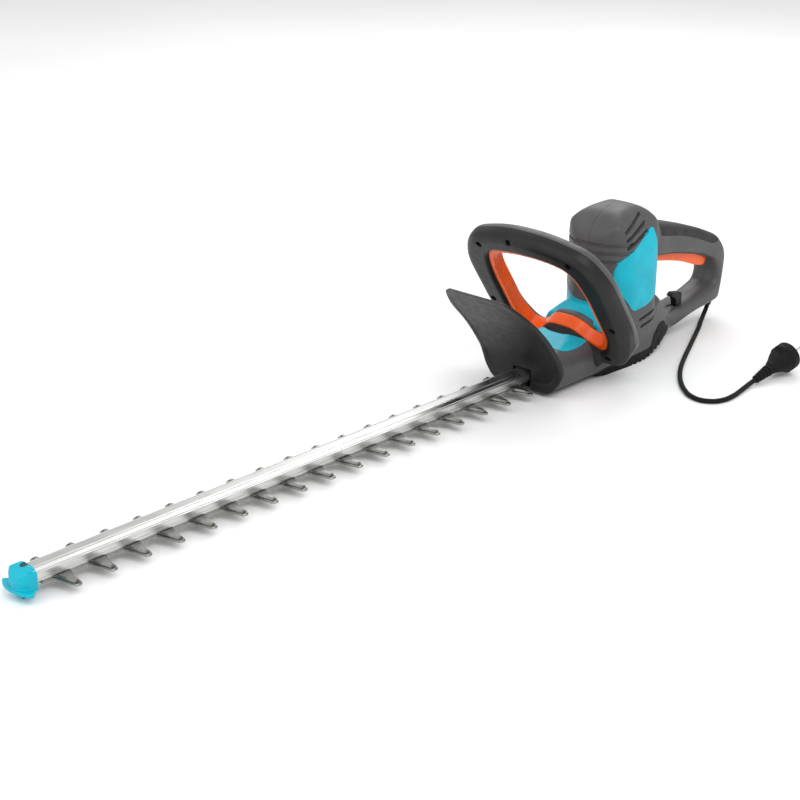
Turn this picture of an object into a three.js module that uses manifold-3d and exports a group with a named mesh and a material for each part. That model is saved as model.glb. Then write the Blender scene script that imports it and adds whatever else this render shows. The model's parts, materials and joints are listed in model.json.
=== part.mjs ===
// Electric hedge trimmer, millimetres, +Z up, +X towards the blade tip, +Y to the operator's left.
// The origin lies on the floor under the motor axis; the tool rests on its foot and its tip protector.
import * as THREE from 'three';
import { mergeVertices } from 'three/addons/utils/BufferGeometryUtils.js';
import Module from 'manifold-3d';

const wasm = await Module();
wasm.setup();

// ---- driving dimensions ------------------------------------------------------------------------
const GAP = 0.3; // clearance between touching pieces
const WALL = 3;
const BASE_HALF_WIDTH = 40;
const TOWER_HALF_WIDTH = 41;
const GRIP_HALF_WIDTH = 18; // rear handle

const TOOTH_PITCH = 34;
const TOOTH_COUNT = 17;
const FIRST_TOOTH_X = 158;
const BLADE_THICKNESS = 2;
const LOWER_BLADE_Z = 8.6;
const UPPER_BLADE_Z = LOWER_BLADE_Z + BLADE_THICKNESS + GAP;
const STROKE = 8; // each blade moves this far either way
const STRIP_HALF_WIDTH = 8.5;
const BLADE_END_X = FIRST_TOOTH_X + (TOOTH_COUNT - 1) * TOOTH_PITCH + 18;

const RAIL_START_X = 97;
const RAIL_END_X = 734;
const RAIL_Z = UPPER_BLADE_Z + BLADE_THICKNESS + GAP;
const RAIL_HEIGHT = 10.2;
const RAIL_HALF_WIDTH = 10.5;
const BOLT_COUNT = 6;

const GEAR_MODULE = 1;
const PINION_TEETH = 9;
const GEAR_TEETH = 63;
const GEAR_X = (GEAR_MODULE * (PINION_TEETH + GEAR_TEETH)) / 2; // motor axis is at x = 0
const GEAR_Z = 15.2;
const GEAR_HEIGHT = 8;

const LOOP_TILT = THREE.MathUtils.degToRad(34); // front handle leans forward
const LOOP_ORIGIN = new THREE.Vector3(53, 0, 39.4); // foot of the loop's middle plane
const LOOP_HALF_WIDTH = 89;
const LOOP_HEIGHT = 154;
const LOOP_BACK = -9.5; // rear and front faces, square to the loop
const LOOP_FRONT = 15.5;
const LOOP_INNER_HALF = 59.5;
const LOOP_INNER_TOP = 129;

const GUARD_HALF_WIDTH = 51.5;
const GUARD_TOP = [211, 117]; // x and z of its upper edge
const GUARD_THICKNESS = 4;

const CORD_DIAMETER = 5;

// ---- materials ---------------------------------------------------------------------------------
const material = (color, roughness, metalness = 0) =>
  () => new THREE.MeshStandardMaterial({ color, roughness, metalness });
const bodyGrey = material(0x55565a, 0.55);
const charcoal = material(0x2e2f31, 0.5);
const teal = material(0x00b4cc, 0.4);
const orange = material(0xff5a14, 0.35);
const blackPlastic = material(0x1a1a1b, 0.6);
const blackRubber = material(0x151515, 0.7);
const brightSteel = material(0xb9bcc0, 0.3, 1);
const castAluminium = material(0xc4c6c9, 0.4, 1);
const darkSteel = material(0x4b4d50, 0.4, 1);
const copper = material(0xb5683a, 0.4, 1);
const carbon = material(0x29292b, 0.8);
const brass = material(0xc9a75c, 0.35, 1);

// ---- solids ------------------------------------------------------------------------------------
function solid(geometry) {
  const bare = geometry.clone();
  for (const name of Object.keys(bare.attributes)) if (name !== 'position') bare.deleteAttribute(name);
  const merged = mergeVertices(bare, 1e-4);
  const count = merged.attributes.position.count;
  const index = merged.index ? merged.index.array : Uint32Array.from({ length: count }, (_, i) => i);
  return new wasm.Manifold(new wasm.Mesh({
    numProp: 3,
    vertProperties: Float32Array.from(merged.attributes.position.array),
    triVerts: Uint32Array.from(index),
  }));
}

function toGeometry(manifold) {
  const mesh = manifold.getMesh();
  const geometry = new THREE.BufferGeometry();
  geometry.setAttribute('position', new THREE.BufferAttribute(mesh.vertProperties.slice(), 3));
  geometry.setIndex(new THREE.BufferAttribute(mesh.triVerts.slice(), 1));
  geometry.computeVertexNormals();
  return geometry;
}

const cut = (body, ...tools) => tools.reduce((left, tool) => left.subtract(tool), body);
const join = (first, ...rest) => rest.reduce((sum, next) => sum.add(next), first);

// ---- outlines ----------------------------------------------------------------------------------
const ARC_STEPS = 2;

// Closed outline with each corner rounded. A point is [a, b] or [a, b, its own radius].
function rounded(points, radius) {
  const out = [];
  const count = points.length;
  for (let i = 0; i < count; i++) {
    const corner = new THREE.Vector2(points[i][0], points[i][1]);
    const before = new THREE.Vector2(...points[(i + count - 1) % count].slice(0, 2)).sub(corner);
    const after = new THREE.Vector2(...points[(i + 1) % count].slice(0, 2)).sub(corner);
    const wanted = points[i][2] ?? radius;
    const reach = Math.min(wanted, before.length() * 0.45, after.length() * 0.45);
    if (reach < 0.05) {
      out.push(corner);
      continue;
    }
    const start = before.setLength(reach).add(corner);
    const end = after.setLength(reach).add(corner);
    const bend = new THREE.QuadraticBezierCurve(start, corner, end);
    out.push(...bend.getPoints(ARC_STEPS));
  }
  return out;
}

const circle = (x, y, r, steps = 24) => Array.from({ length: steps }, (_, i) => {
  const angle = (2 * Math.PI * i) / steps;
  return new THREE.Vector2(x + r * Math.cos(angle), y + r * Math.sin(angle));
});

const box2 = (x0, x1, y0, y1) => [[x0, y0], [x1, y0], [x1, y1], [x0, y1]];
const plain = (points) => points.map((p) => (p.isVector2 ? p : new THREE.Vector2(p[0], p[1])));
const mirrored = (half) => [...half, ...half.slice().reverse().map(([a, b, r]) => [-a, b, r])];

// The local frames that an outline is drawn in: the third axis is the direction of extrusion.
const axes = (a, b, c) => new THREE.Matrix4().makeBasis(a, b, c);
const X = new THREE.Vector3(1, 0, 0);
const Y = new THREE.Vector3(0, 1, 0);
const Z = new THREE.Vector3(0, 0, 1);
const ALONG_X = axes(Y, Z, X);
const ALONG_Y = axes(Z, X, Y); // outline given as [z, x]
const ALONG_Z = axes(X, Y, Z);
const loopUp = new THREE.Vector3(Math.sin(LOOP_TILT), 0, Math.cos(LOOP_TILT));
const loopNormal = new THREE.Vector3(Math.cos(LOOP_TILT), 0, -Math.sin(LOOP_TILT));
const IN_LOOP = axes(Y, loopUp, loopNormal).setPosition(LOOP_ORIGIN);

// Extrudes an outline from a to b along the frame's third axis, with an optional rounded edge.
function prism(frame, outline, a, b, { bevel = 0, steps = 2 } = {}) {
  const geometry = new THREE.ExtrudeGeometry(new THREE.Shape(plain(outline)), {
    depth: b - a - 2 * bevel,
    bevelEnabled: bevel > 0,
    bevelThickness: bevel,
    bevelSize: bevel,
    bevelOffset: -bevel,
    bevelSegments: steps,
    curveSegments: 8,
  });
  geometry.translate(0, 0, a + bevel);
  geometry.applyMatrix4(frame);
  return solid(geometry);
}
// A side view outline is written [x, z], and is extruded across the tool.
const across = (outline, y0, y1, options) => prism(
  ALONG_Y, plain(outline).map((p) => new THREE.Vector2(p.y, p.x)), y0, y1, options,
);
const block = (x0, x1, y0, y1, z0, z1) => prism(ALONG_Z, box2(x0, x1, y0, y1), z0, z1);

// A body of revolution about an axis through `at`. The profile is [radius, height] pairs.
function turned(profile, { at = [0, 0, 0], axis = Z, segments = 16 } = {}) {
  const geometry = new THREE.LatheGeometry(plain(profile), segments);
  geometry.rotateX(Math.PI / 2);
  geometry.applyQuaternion(new THREE.Quaternion().setFromUnitVectors(Z, axis.clone().normalize()));
  geometry.translate(...at);
  return solid(geometry);
}
const rod = (r, h0, h1) => [[0, h0], [r, h0], [r, h1], [0, h1]];
const tubeProfile = (inner, outer, h0, h1) => [
  [inner, h0], [outer, h0], [outer, h1], [inner, h1], [inner, h0],
];

// ---- assembly ----------------------------------------------------------------------------------
const trimmer = new THREE.Group();
function add(name, manifold, finish) {
  const mesh = new THREE.Mesh(toGeometry(manifold), finish());
  mesh.name = name;
  trimmer.add(mesh);
}

// ---- outer forms of the housing ----------------------------------------------------------------
const towerSide = (inset) => rounded([
  [38 - inset, 40 + inset, 1], [38 - inset, 122 - inset, 16], [32 - inset, 144 - inset, 10],
  [16, 158 - inset, 14], [-14, 167 - inset, 12], [-32, 157 - inset, 8],
  [-45 + inset, 140 - inset, 10], [-50 + inset, 115 - inset, 12], [-48 + inset, 40 + inset, 1],
], 6);
const towerFront = (inset) => rounded(mirrored([
  [TOWER_HALF_WIDTH - 1 - inset, 39 + inset, 1], [TOWER_HALF_WIDTH - inset, 120 - inset, 14],
  [33 - inset, 145 - inset, 14], [18 - inset, 159.5 - inset, 10], [5 - inset * 0.5, 167.6 - inset, 4],
]), 8);
const towerPlan = (inset) => rounded([
  [38 - inset, -18 + inset, 12], [18, -TOWER_HALF_WIDTH + inset, 22],
  [-34, -TOWER_HALF_WIDTH + inset, 20], [-52 + inset, -18 + inset, 16],
  [-52 + inset, 18 - inset, 16], [-34, TOWER_HALF_WIDTH - inset, 20],
  [18, TOWER_HALF_WIDTH - inset, 22], [38 - inset, 18 - inset, 12],
], 10);
function tower(inset) {
  return across(towerSide(inset), -60, 60)
    .intersect(prism(ALONG_X, towerFront(inset), -70, 60))
    .intersect(prism(ALONG_Z, towerPlan(inset), 30, 180));
}

const BASE_FRONT_X = 133;
const baseSide = (inset) => rounded([
  [BASE_FRONT_X - inset, 4 + inset, 1], [BASE_FRONT_X - inset, 38 - inset, 4],
  [118 - inset, 50 - inset, 8], [97, 59 - inset, 8], [60, 62 - inset, 6], [30, 70 - inset, 6],
  [-46, 70 - inset, 8], [-60, 48 - inset, 8], [-96, 36 - inset, 10], [-112 + inset, 25, 6],
  [-104 + inset, 15 + inset, 8], [-60, 6 + inset, 10], [-30, 4 + inset, 4],
], 2);
const basePlan = (inset) => rounded([
  [BASE_FRONT_X - inset, -BASE_HALF_WIDTH + 3 + inset, 6], [110, -BASE_HALF_WIDTH + inset, 20],
  [-18, -BASE_HALF_WIDTH + inset, 24], [-62, -30 + inset, 20], [-112 + inset, -12 + inset, 8],
  [-112 + inset, 12 - inset, 8], [-62, 30 - inset, 20],
  [-18, BASE_HALF_WIDTH - inset, 24], [110, BASE_HALF_WIDTH - inset, 20],
  [BASE_FRONT_X - inset, BASE_HALF_WIDTH - 3 - inset, 6],
], 10);
const baseFront = (inset) => rounded(mirrored([
  [BASE_HALF_WIDTH - 6 - inset, 3.5 + inset, 5], [BASE_HALF_WIDTH - inset, 12, 6],
  [BASE_HALF_WIDTH - inset, 44 - inset, 10], [24 - inset, 71 - inset, 16],
]), 6);
function base(inset) {
  return across(baseSide(inset), -50, 50)
    .intersect(prism(ALONG_Z, basePlan(inset), -5, 80))
    .intersect(prism(ALONG_X, baseFront(inset), -130, 160));
}

const gripOutline = rounded([
  [-30, 141, 0], [-85, 132, 30], [-143, 115, 40], [-184, 98, 20], [-199.5, 78, 22], [-196, 46, 14],
  [-191, 23, 12], [-176, 20.5, 8], [-142, 17, 12], [-104, 9, 10], [-60, 7, 10], [-30, 8, 0],
], 6);
const gripHole = rounded([
  [-44, 101, 2], [-100, 94, 20], [-150, 82, 20], [-177, 71, 14], [-185, 56, 12], [-182, 44, 8],
  [-154, 36, 12], [-120, 31, 12], [-98, 33, 8], [-80, 40, 6], [-44, 46, 2],
], 6);

// ---- front handle outlines, drawn in the loop's own plane as [y, height] -----------------------
const loopOuter = rounded([
  ...mirrored([[LOOP_HALF_WIDTH - 9, 2, 16], [LOOP_HALF_WIDTH, 36, 20], [LOOP_HALF_WIDTH, 108, 24],
    [LOOP_HALF_WIDTH - 16, LOOP_HEIGHT - 14, 30], [26, LOOP_HEIGHT, 24]]),
  [-64, -13, 14], [-43, -14, 3], [-43, 2, 6], [-30, 8, 10], [30, 8, 10], [43, 2, 6], [43, -14, 3],
  [64, -13, 14],
], 16);
// The inner edge, moved towards the middle of the opening by `inset`, and at the top by `top`.
const loopInner = (inset, top = inset) => {
  const side = LOOP_INNER_HALF - inset;
  return rounded([
    ...mirrored([[side + 1, 26 + inset, 14], [side, 92, 20], [side - 8, LOOP_INNER_TOP - top - 5, 18],
      [20, LOOP_INNER_TOP + 2 - top, 16]]),
    [-48 + inset * 0.6, 2 + inset, 14], [-30, 8 + inset, 10], [-15, 23 + inset, 12], [15, 23 + inset, 12],
    [30, 8 + inset, 10], [48 - inset * 0.6, 2 + inset, 14],
  ], 12);
};
const loopEnvelope = rounded(mirrored([
  [LOOP_HALF_WIDTH - 14, -24, 0], [LOOP_HALF_WIDTH - 4, 8, 24], [LOOP_HALF_WIDTH, 40, 24],
  [LOOP_HALF_WIDTH, 108, 24], [LOOP_HALF_WIDTH - 16, LOOP_HEIGHT - 14, 30], [26, LOOP_HEIGHT, 24],
]), 16);
const loopSolid = () => prism(IN_LOOP, loopEnvelope, LOOP_BACK, LOOP_FRONT, { bevel: 7, steps: 1 })
  .intersect(prism(IN_LOOP, loopOuter, LOOP_BACK - 1, LOOP_FRONT + 1))
  .subtract(prism(IN_LOOP, loopInner(0), LOOP_BACK - 1, LOOP_FRONT + 1));

// The saddle is the stretch of the loop that crosses over the base, in a trough cut clear of it.
const saddleRoom = (grow) => prism(IN_LOOP, rounded([
  [-43.2, -30, 0], [43.2, -30, 0], [43.2, 40, 4], [-43.2, 40, 4],
], 2), LOOP_BACK - GAP - grow, LOOP_FRONT + GAP + grow).intersect(prism(IN_LOOP, rounded([
  [-60, -4 - grow, 2], [-43, -4 - grow, 2], [-29, 6.6 - grow, 10], [29, 6.6 - grow, 10],
  [43, -4 - grow, 2], [60, -4 - grow, 2], [60, 60, 0], [-60, 60, 0],
], 2), LOOP_BACK - 10, LOOP_FRONT + 10));

// ---- housing shells ----------------------------------------------------------------------------
const TRIGGER_PIVOT = [-60, 102];
// [x, z] of the screws that pull the two shells together.
const HOUSING_SCREWS = [[124, 30], [-40, 28], [-188, 82]];
const panelOutline = (grow) => rounded([
  [-26 - grow * 0.4, 146 + grow, 6], [-35 - grow, 108, 10], [-33 - grow, 72 - grow * 0.5, 12],
  [-18, 63 - grow, 10], [8 + grow, 61 - grow, 6], [27 + grow, 88, 12], [29 + grow, 106, 10],
  [24 + grow, 118 + grow, 10], [5, 129 + grow, 12],
], 6);
const VENT_LENGTH = 38;
// [front x, front z] of the slots that let the motor's air in, and of the ones that let it out.
const INLET_SLOTS = [[16, 138], [16, 129], [16, 120]];
const OUTLET_SLOTS = [[-4, 50], [-8, 41]];
function slot([x, z], length, rise, height = 3.6) {
  const run = length * Math.cos(rise);
  const climb = length * Math.sin(rise);
  return across(rounded([
    [x, z, 1.7], [x - run, z + climb, 1.7], [x - run, z + climb - height, 1.7], [x, z - height, 1.7],
  ], 1.7), -60, 60);
}

function housing() {
  const grip = cut(
    across(gripOutline, -GRIP_HALF_WIDTH, GRIP_HALF_WIDTH, { bevel: 6, steps: 1 }), across(gripHole, -60, 60),
  );
  let body = join(tower(0), base(0), grip);

  const hollows = [tower(WALL + 2.2), base(WALL)];
  // Switch room in the upper bar and cord duct in the lower bar of the rear handle.
  hollows.push(across([
    [-40, 103], [-40, 128], [-90, 122], [-150, 104], [-180, 89], [-177, 79], [-120, 95],
  ], -12.5, 12.5));
  hollows.push(across([
    [-46, 14], [-46, 36], [-84, 30], [-120, 25], [-156, 29], [-183, 35], [-186, 28], [-150, 23],
    [-104, 15],
  ], -10, 10));
  body = cut(body, ...hollows);

  const bosses = HOUSING_SCREWS.map(([x, z]) => turned(
    rod(4.4, -60, 60), { at: [x, 0, z], axis: Y, segments: 12 },
  ));
  const gripCore = cut(across(gripOutline, -15, 15), across(gripHole, -60, 60));
  const outer = join(tower(0.6), base(0.6), gripCore);
  body = join(body, ...bosses.map((boss) => boss.intersect(outer)));

  const wayHalf = RAIL_HALF_WIDTH + 2 * GAP;
  const cuts = [
    across([[-53.5, 108], [-53.5, 86], [-110, 78], [-178, 54], [-178, 86]], -8.2, 8.2),
    turned(rod(2.3, -12.6, 12.6), { at: [TRIGGER_PIVOT[0], 0, TRIGGER_PIVOT[1]], axis: Y, segments: 12 }),
    saddleRoom(0),
    // blade and rail way out at the front
    block(118, 150, -wayHalf, wayHalf, 5, RAIL_Z + RAIL_HEIGHT + 0.4),
    block(60, 150, -wayHalf, wayHalf, RAIL_Z - 1, RAIL_Z + RAIL_HEIGHT + 0.4),
    ...INLET_SLOTS.map((at) => slot(at, VENT_LENGTH, 0.36)),
    ...OUTLET_SLOTS.map((at) => slot(at, 30, 0.2)),
  ];
  body = cut(body, ...cuts);
  // Pockets for the side panels, and the space of the gear cover.
  body = cut(
    body,
    cut(across(panelOutline(GAP), -60, 60), tower(PANEL_THICKNESS + GAP)),
    coverRoom(GAP),
    saddleRoom(TROUGH_WALL + GAP).intersect(coverSpan(GAP)),
    cut(inlayRoom(GAP), inlayFloor(2.4 + GAP)),
  );
  return body;
}

const PANEL_THICKNESS = 2.3;
const TROUGH_WALL = 2;

// The soft inlay of the rear handle is let into the top of the housing.
const inlayFloor = (drop) => across(gripOutline.map((p) => [p.x - drop * 0.3, p.y - drop]), -30, 30);
const inlayRoom = (grow) => prism(ALONG_Z, rounded([
  [-70 + grow, -11 - grow, 6], [-184 - grow, -9 - grow, 8], [-184 - grow, 9 + grow, 8],
  [-70 + grow, 11 + grow, 6],
], 6), 80, 160);

// The teal cover closes the top of the gear room, from the tower's front to the nose.
const coverRoom = (grow) => across([
  [38.6 - grow, 90], [38.6 - grow, 55 - grow], [60, 49.5 - grow], [90, 46.5 - grow],
  [116 + grow, 47 - grow], [116 + grow, 90],
], -60, 60);
const coverSpan = (grow) => block(38.6 - grow, 116 + grow, -60, 60, 20, 90);

const SLEEVE_FROM = new THREE.Vector3(-199, -1, 31);
const SLEEVE_TO = new THREE.Vector3(-189, 3, 12.6);
const sleeveAxis = SLEEVE_TO.clone().sub(SLEEVE_FROM).normalize();
const sleeveLength = SLEEVE_TO.distanceTo(SLEEVE_FROM);
const sleeveRoom = turned(rod(6.2, -2, sleeveLength), {
  at: SLEEVE_FROM.toArray(), axis: sleeveAxis, segments: 16,
});

const shell = cut(housing(), sleeveRoom, block(-112, -88, 2, 13.5, 28, 60));
function housingHalf(side) {
  const keep = side > 0 ? block(-230, 160, GAP / 2, 60, -5, 190) : block(-230, 160, -60, -GAP / 2, -5, 190);
  const bores = HOUSING_SCREWS.map(([x, z]) => (side > 0
    ? turned(rod(1.8, -1, 10), { at: [x, 0, z], axis: Y, segments: 10 })
    : join(
      turned(rod(1.9, 0, 60), { at: [x, 0, z], axis: Y.clone().negate(), segments: 10 }),
      turned(rod(3.6, 9, 60), { at: [x, 0, z], axis: Y.clone().negate(), segments: 12 }),
    )));
  return cut(shell.intersect(keep), ...bores);
}

function addHousing() {
  add('housing_left', largest(housingHalf(1)), bodyGrey);
  add('housing_right', largest(housingHalf(-1)), bodyGrey);
  const panels = cut(
    across(panelOutline(0), -60, 60).intersect(tower(-0.5)), tower(PANEL_THICKNESS),
    ...INLET_SLOTS.map((at) => slot(at, VENT_LENGTH + 1, 0.36, 4.2)),
  );
  add('side_panel_left', largest(panels.intersect(block(-60, 60, 10, 60, 40, 180))), teal);
  add('side_panel_right', largest(panels.intersect(block(-60, 60, -60, -10, 40, 180))), teal);
  const roof = cut(base(0).intersect(coverRoom(0)), base(WALL));
  const trough = base(0).intersect(saddleRoom(TROUGH_WALL)).intersect(coverSpan(0));
  add('gear_cover', largest(cut(join(roof, trough), saddleRoom(0), tower(-GAP))), teal);
  HOUSING_SCREWS.forEach(([x, z], i) => {
    add(`housing_screw_${i + 1}`, turned([
      [0, -8], [1.5, -8], [1.5, 9.3], [3.2, 9.3], [3.2, 12], [0, 12],
    ], { at: [x, 0, z], axis: Y.clone().negate(), segments: 12 }), darkSteel);
  });
}

// Keeps the biggest body where a cut leaves loose slivers.
function largest(manifold) {
  return manifold.decompose().sort((a, b) => b.volume() - a.volume())[0];
}


// ---- hand guard --------------------------------------------------------------------------------
function addHandGuard() {
  const t = GUARD_THICKNESS;
  const [topX, topZ] = GUARD_TOP;
  const profile = rounded([
    [137, 4, 0], [137, 32, 8], [161, 66, 30], GUARD_TOP, [topX - 3.5, topZ], [157, 69.5, 30],
    [137 - t, 35, 8], [137 - t, 4, 0],
  ], 8);
  const face = rounded(mirrored([
    [GUARD_HALF_WIDTH - 14, 4, 8], [GUARD_HALF_WIDTH, 24, 12], [GUARD_HALF_WIDTH, 92, 18],
    [GUARD_HALF_WIDTH - 14, topZ, 16],
  ]), 8);
  const way = block(120, 150, -RAIL_HALF_WIDTH - 1, RAIL_HALF_WIDTH + 1, 0, RAIL_Z + RAIL_HEIGHT + 0.8);
  add('hand_guard', cut(
    across(profile, -60, 60).intersect(prism(ALONG_X, face, 120, 220)), way,
  ), charcoal);
}

// ---- blades and rail ---------------------------------------------------------------------------
const boltX = (i) => FIRST_TOOTH_X + TOOTH_PITCH * (0.5 + 2.8 * i);
const YOKE = { halfX: 6 + 2 * STROKE + 0.6, halfY: 6 + STROKE + 0.6, rim: 4.6 };

// One side of a tooth, from the strip to the tip: [half length along the blade, reach across it].
const LOWER_TOOTH = [[10.5, STRIP_HALF_WIDTH], [7.2, 14], [4.9, 21], [3.5, 28.5], [1.8, 31.4]];
const UPPER_TOOTH = [[8.6, STRIP_HALF_WIDTH], [5.6, 14], [3.9, 21], [2.7, 28.4]];

function blade(z, tooth) {
  const edge = [];
  for (let i = 0; i < TOOTH_COUNT; i++) {
    const x = FIRST_TOOTH_X + TOOTH_PITCH * i;
    edge.push(...tooth.map(([half, y]) => [x - half, y]));
    edge.push(...tooth.slice().reverse().map(([half, y]) => [x + half, y]));
  }
  edge[edge.length - 1] = [BLADE_END_X, STRIP_HALF_WIDTH];
  const yokeEnd = GEAR_X + YOKE.halfX + YOKE.rim;
  const yokeSide = YOKE.halfY + YOKE.rim;
  const half = [
    [GEAR_X - YOKE.halfX - YOKE.rim, yokeSide], [yokeEnd, yokeSide], [yokeEnd, STRIP_HALF_WIDTH], ...edge,
  ];
  const outline = [...half, ...half.slice().reverse().map(([x, y]) => [x, -y])];
  const plate = prism(ALONG_Z, outline, z, z + BLADE_THICKNESS);
  const slots = Array.from({ length: BOLT_COUNT }, (_, i) => block(
    boltX(i) - STROKE - 3.2, boltX(i) + STROKE + 3.2, -2.9, 2.9, z - 1, z + BLADE_THICKNESS + 1,
  ));
  const window = block(
    GEAR_X - YOKE.halfX, GEAR_X + YOKE.halfX, -YOKE.halfY, YOKE.halfY, z - 1, z + BLADE_THICKNESS + 1,
  );
  return cut(plate, window, ...slots);
}

const TIP_SCREW_X = 729.6;
function addBladeUnit() {
  add('upper_blade', blade(UPPER_BLADE_Z, UPPER_TOOTH), brightSteel);
  add('lower_blade', blade(LOWER_BLADE_Z, LOWER_TOOTH), brightSteel);

  const top = RAIL_Z + RAIL_HEIGHT;
  const half = RAIL_HALF_WIDTH;
  const section = mirrored([
    [half, RAIL_Z], [half, top - 2.8], [half - 0.8, top - 2], [half - 5.2, top - 0.2], [half - 5.8, top],
  ]);
  const rail = prism(ALONG_X, section, RAIL_START_X, RAIL_END_X);
  const holes = Array.from({ length: BOLT_COUNT }, (_, i) => turned(
    rod(2.9, RAIL_Z - 1, top - 2.5), { at: [boltX(i), 0, 0], segments: 8 },
  ));
  const tipHole = turned(rod(1.8, top - 7, top + 1), { at: [TIP_SCREW_X, 0, 0], segments: 10 });
  add('guide_rail', cut(rail, tipHole, ...holes), castAluminium);

  for (let i = 0; i < BOLT_COUNT; i++) {
    const head = LOWER_BLADE_Z - GAP;
    add(`blade_bolt_${i + 1}`, turned([
      [0, head - 2.6], [3.9, head - 2.6], [4.6, head], [2.5, head], [2.5, top - 2.8], [0, top - 2.8],
    ], { at: [boltX(i), 0, 0], segments: 8 }), darkSteel);
  }
}

// ---- tip protector -----------------------------------------------------------------------------
function addTipProtector() {
  const top = RAIL_Z + RAIL_HEIGHT;
  const start = 726.5;
  const front = 744;
  const flange = rounded([
    [start, -11, 0], [731, -12, 3], [733, -17, 4], [737.5, -21, 4], [742, -13.5, 8], [front, -4, 5],
    [front, 4, 5], [742, 13.5, 8], [737.5, 21, 4], [733, 17, 4], [731, 12, 3], [start, 11, 0],
  ], 4);
  const bossPlan = rounded([
    [start, -11.6, 0], [736, -11.6, 6], [742, -5, 6], [742, 5, 6], [736, 11.6, 6], [start, 11.6, 0],
  ], 6);
  const bossFront = rounded(mirrored([
    [11.6, 6, 0], [11.6, top - 2, 3], [8, top + 0.9, 3], [3.2, top + 2.6, 3],
  ]), 3);
  const bossSide = rounded([
    [start, 5.4, 0], [start, top + 2.6, 2], [734, top + 2.2, 5], [741.4, top - 1.6, 5], [743, 7, 0],
    [736.6, 0, 2], [731.4, 0, 2], [731.4, 5.4, 0],
  ], 2);
  const dropToFloor = (p) => (p.y < 7 ? new THREE.Vector2(p.x, -1) : p);
  const body = join(
    prism(ALONG_Z, flange, 7.2, 10.4),
    across(bossSide, -4.5, 4.5).intersect(prism(ALONG_X, bossFront.map(dropToFloor), 700, 760)),
    across(bossSide, -20, 20).intersect(prism(ALONG_Z, bossPlan, 7.2, 40))
      .intersect(prism(ALONG_X, bossFront, 700, 760)),
  );
  const railRoom = block(700, RAIL_END_X + GAP, -RAIL_HALF_WIDTH - GAP, RAIL_HALF_WIDTH + GAP,
    RAIL_Z - GAP, top + GAP);
  const bladeRoom = block(700, BLADE_END_X + STROKE + 0.8, -STRIP_HALF_WIDTH - 0.6, STRIP_HALF_WIDTH + 0.6,
    LOWER_BLADE_Z - 0.8, RAIL_Z);
  const screwHole = turned([
    [0, top - 2], [1.9, top - 2], [1.9, top + 1.4], [3.5, top + 1.4], [3.5, top + 6], [0, top + 6],
  ], { at: [TIP_SCREW_X, 0, 0], segments: 12 });
  add('tip_protector', largest(cut(body, railRoom, bladeRoom, screwHole)), teal);
  add('tip_screw', turned([
    [0, top - 6.6], [1.5, top - 6.6], [1.5, top + 1.7], [3, top + 1.7], [3, top + 2.5], [0, top + 2.5],
  ], { at: [TIP_SCREW_X, 0, 0], segments: 12 }), darkSteel);
}

// ---- front handle ------------------------------------------------------------------------------
// [y, height in the loop] of the screws that close its two shells, driven from the front.
const HANDLE_SCREWS = [[-76, 47], [76, 47], [-52, -4], [52, -4], [-56, 134], [56, 134]];
const BAR_TRAVEL = 3;
const BAR_BACK = -3.4;
const BAR_FRONT = 11.4;
const LOOP_SEAM = 1;
function addFrontHandle() {
  const inLoop = (y, height, depth) => new THREE.Vector3(y, height, depth).applyMatrix4(IN_LOOP).toArray();
  const whole = loopSolid();
  // A groove round the inner edge holds the switch bar with room for its travel.
  const groove = prism(IN_LOOP, loopInner(-3.4, -3.2 - BAR_TRAVEL), BAR_BACK - 0.6, BAR_FRONT + 0.6);
  const halfSpace = (from, to) => prism(IN_LOOP, box2(-120, 120, -60, 200), from, to);
  const holes = HANDLE_SCREWS.map(([y, height]) => join(
    turned(rod(1.8, -8, 20), { at: inLoop(y, height, 0), axis: loopNormal, segments: 10 }),
    turned(rod(3.6, 9, 20), { at: inLoop(y, height, 0), axis: loopNormal, segments: 12 }),
  ));
  const nose = cut(whole, groove, ...holes);
  add('front_handle_front', largest(nose.intersect(halfSpace(LOOP_SEAM + GAP / 2, 60))), charcoal);
  add('front_handle_rear', largest(nose.intersect(halfSpace(-60, LOOP_SEAM - GAP / 2))), charcoal);
  HANDLE_SCREWS.forEach(([y, height], i) => {
    add(`handle_screw_${i + 1}`, turned([
      [0, -6.6], [1.4, -6.6], [1.4, 9.3], [3.2, 9.3], [3.2, 11.4], [0, 11.4],
    ], { at: inLoop(y, height, 0), axis: loopNormal, segments: 10 }), darkSteel);
  });
  add('front_switch_bar', cut(
    prism(IN_LOOP, loopInner(-3, -2.8), BAR_BACK, BAR_FRONT), prism(IN_LOOP, loopInner(4.2), -20, 20),
  ), orange);
}

// ---- rear trigger ------------------------------------------------------------------------------
function addTrigger() {
  const side = rounded([
    [-56, 105, 4], [-64, 105.5, 4], [-112, 96, 20], [-150, 86, 20], [-172, 76, 4], [-173, 70, 3],
    [-168, 65, 3], [-154, 68, 8], [-134, 76, 12], [-110, 83, 20], [-84, 88.5, 20], [-58, 93, 4],
  ], 3);
  const pin = turned(rod(2.3, -30, 30), {
    at: [TRIGGER_PIVOT[0], 0, TRIGGER_PIVOT[1]], axis: Y, segments: 12,
  });
  add('rear_trigger', cut(across(side, -7.4, 7.4, { bevel: 1.4, steps: 1 }), pin), orange);
  add('trigger_pin', turned(rod(2, -12.2, 12.2), {
    at: [TRIGGER_PIVOT[0], 0, TRIGGER_PIVOT[1]], axis: Y, segments: 12,
  }), darkSteel);
  add('rear_switch', across([[-84, 109], [-84, 119], [-112, 113], [-112, 103]], -6, 6), blackPlastic);
  add('front_switch', block(78, 100, -7, 7, 27, 36), blackPlastic);
  // Soft inlay let into the top of the rear handle.
  add('grip_inlay', cut(across(gripOutline, -30, 30).intersect(inlayRoom(0)), inlayFloor(2.4)), blackRubber);
}

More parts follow.
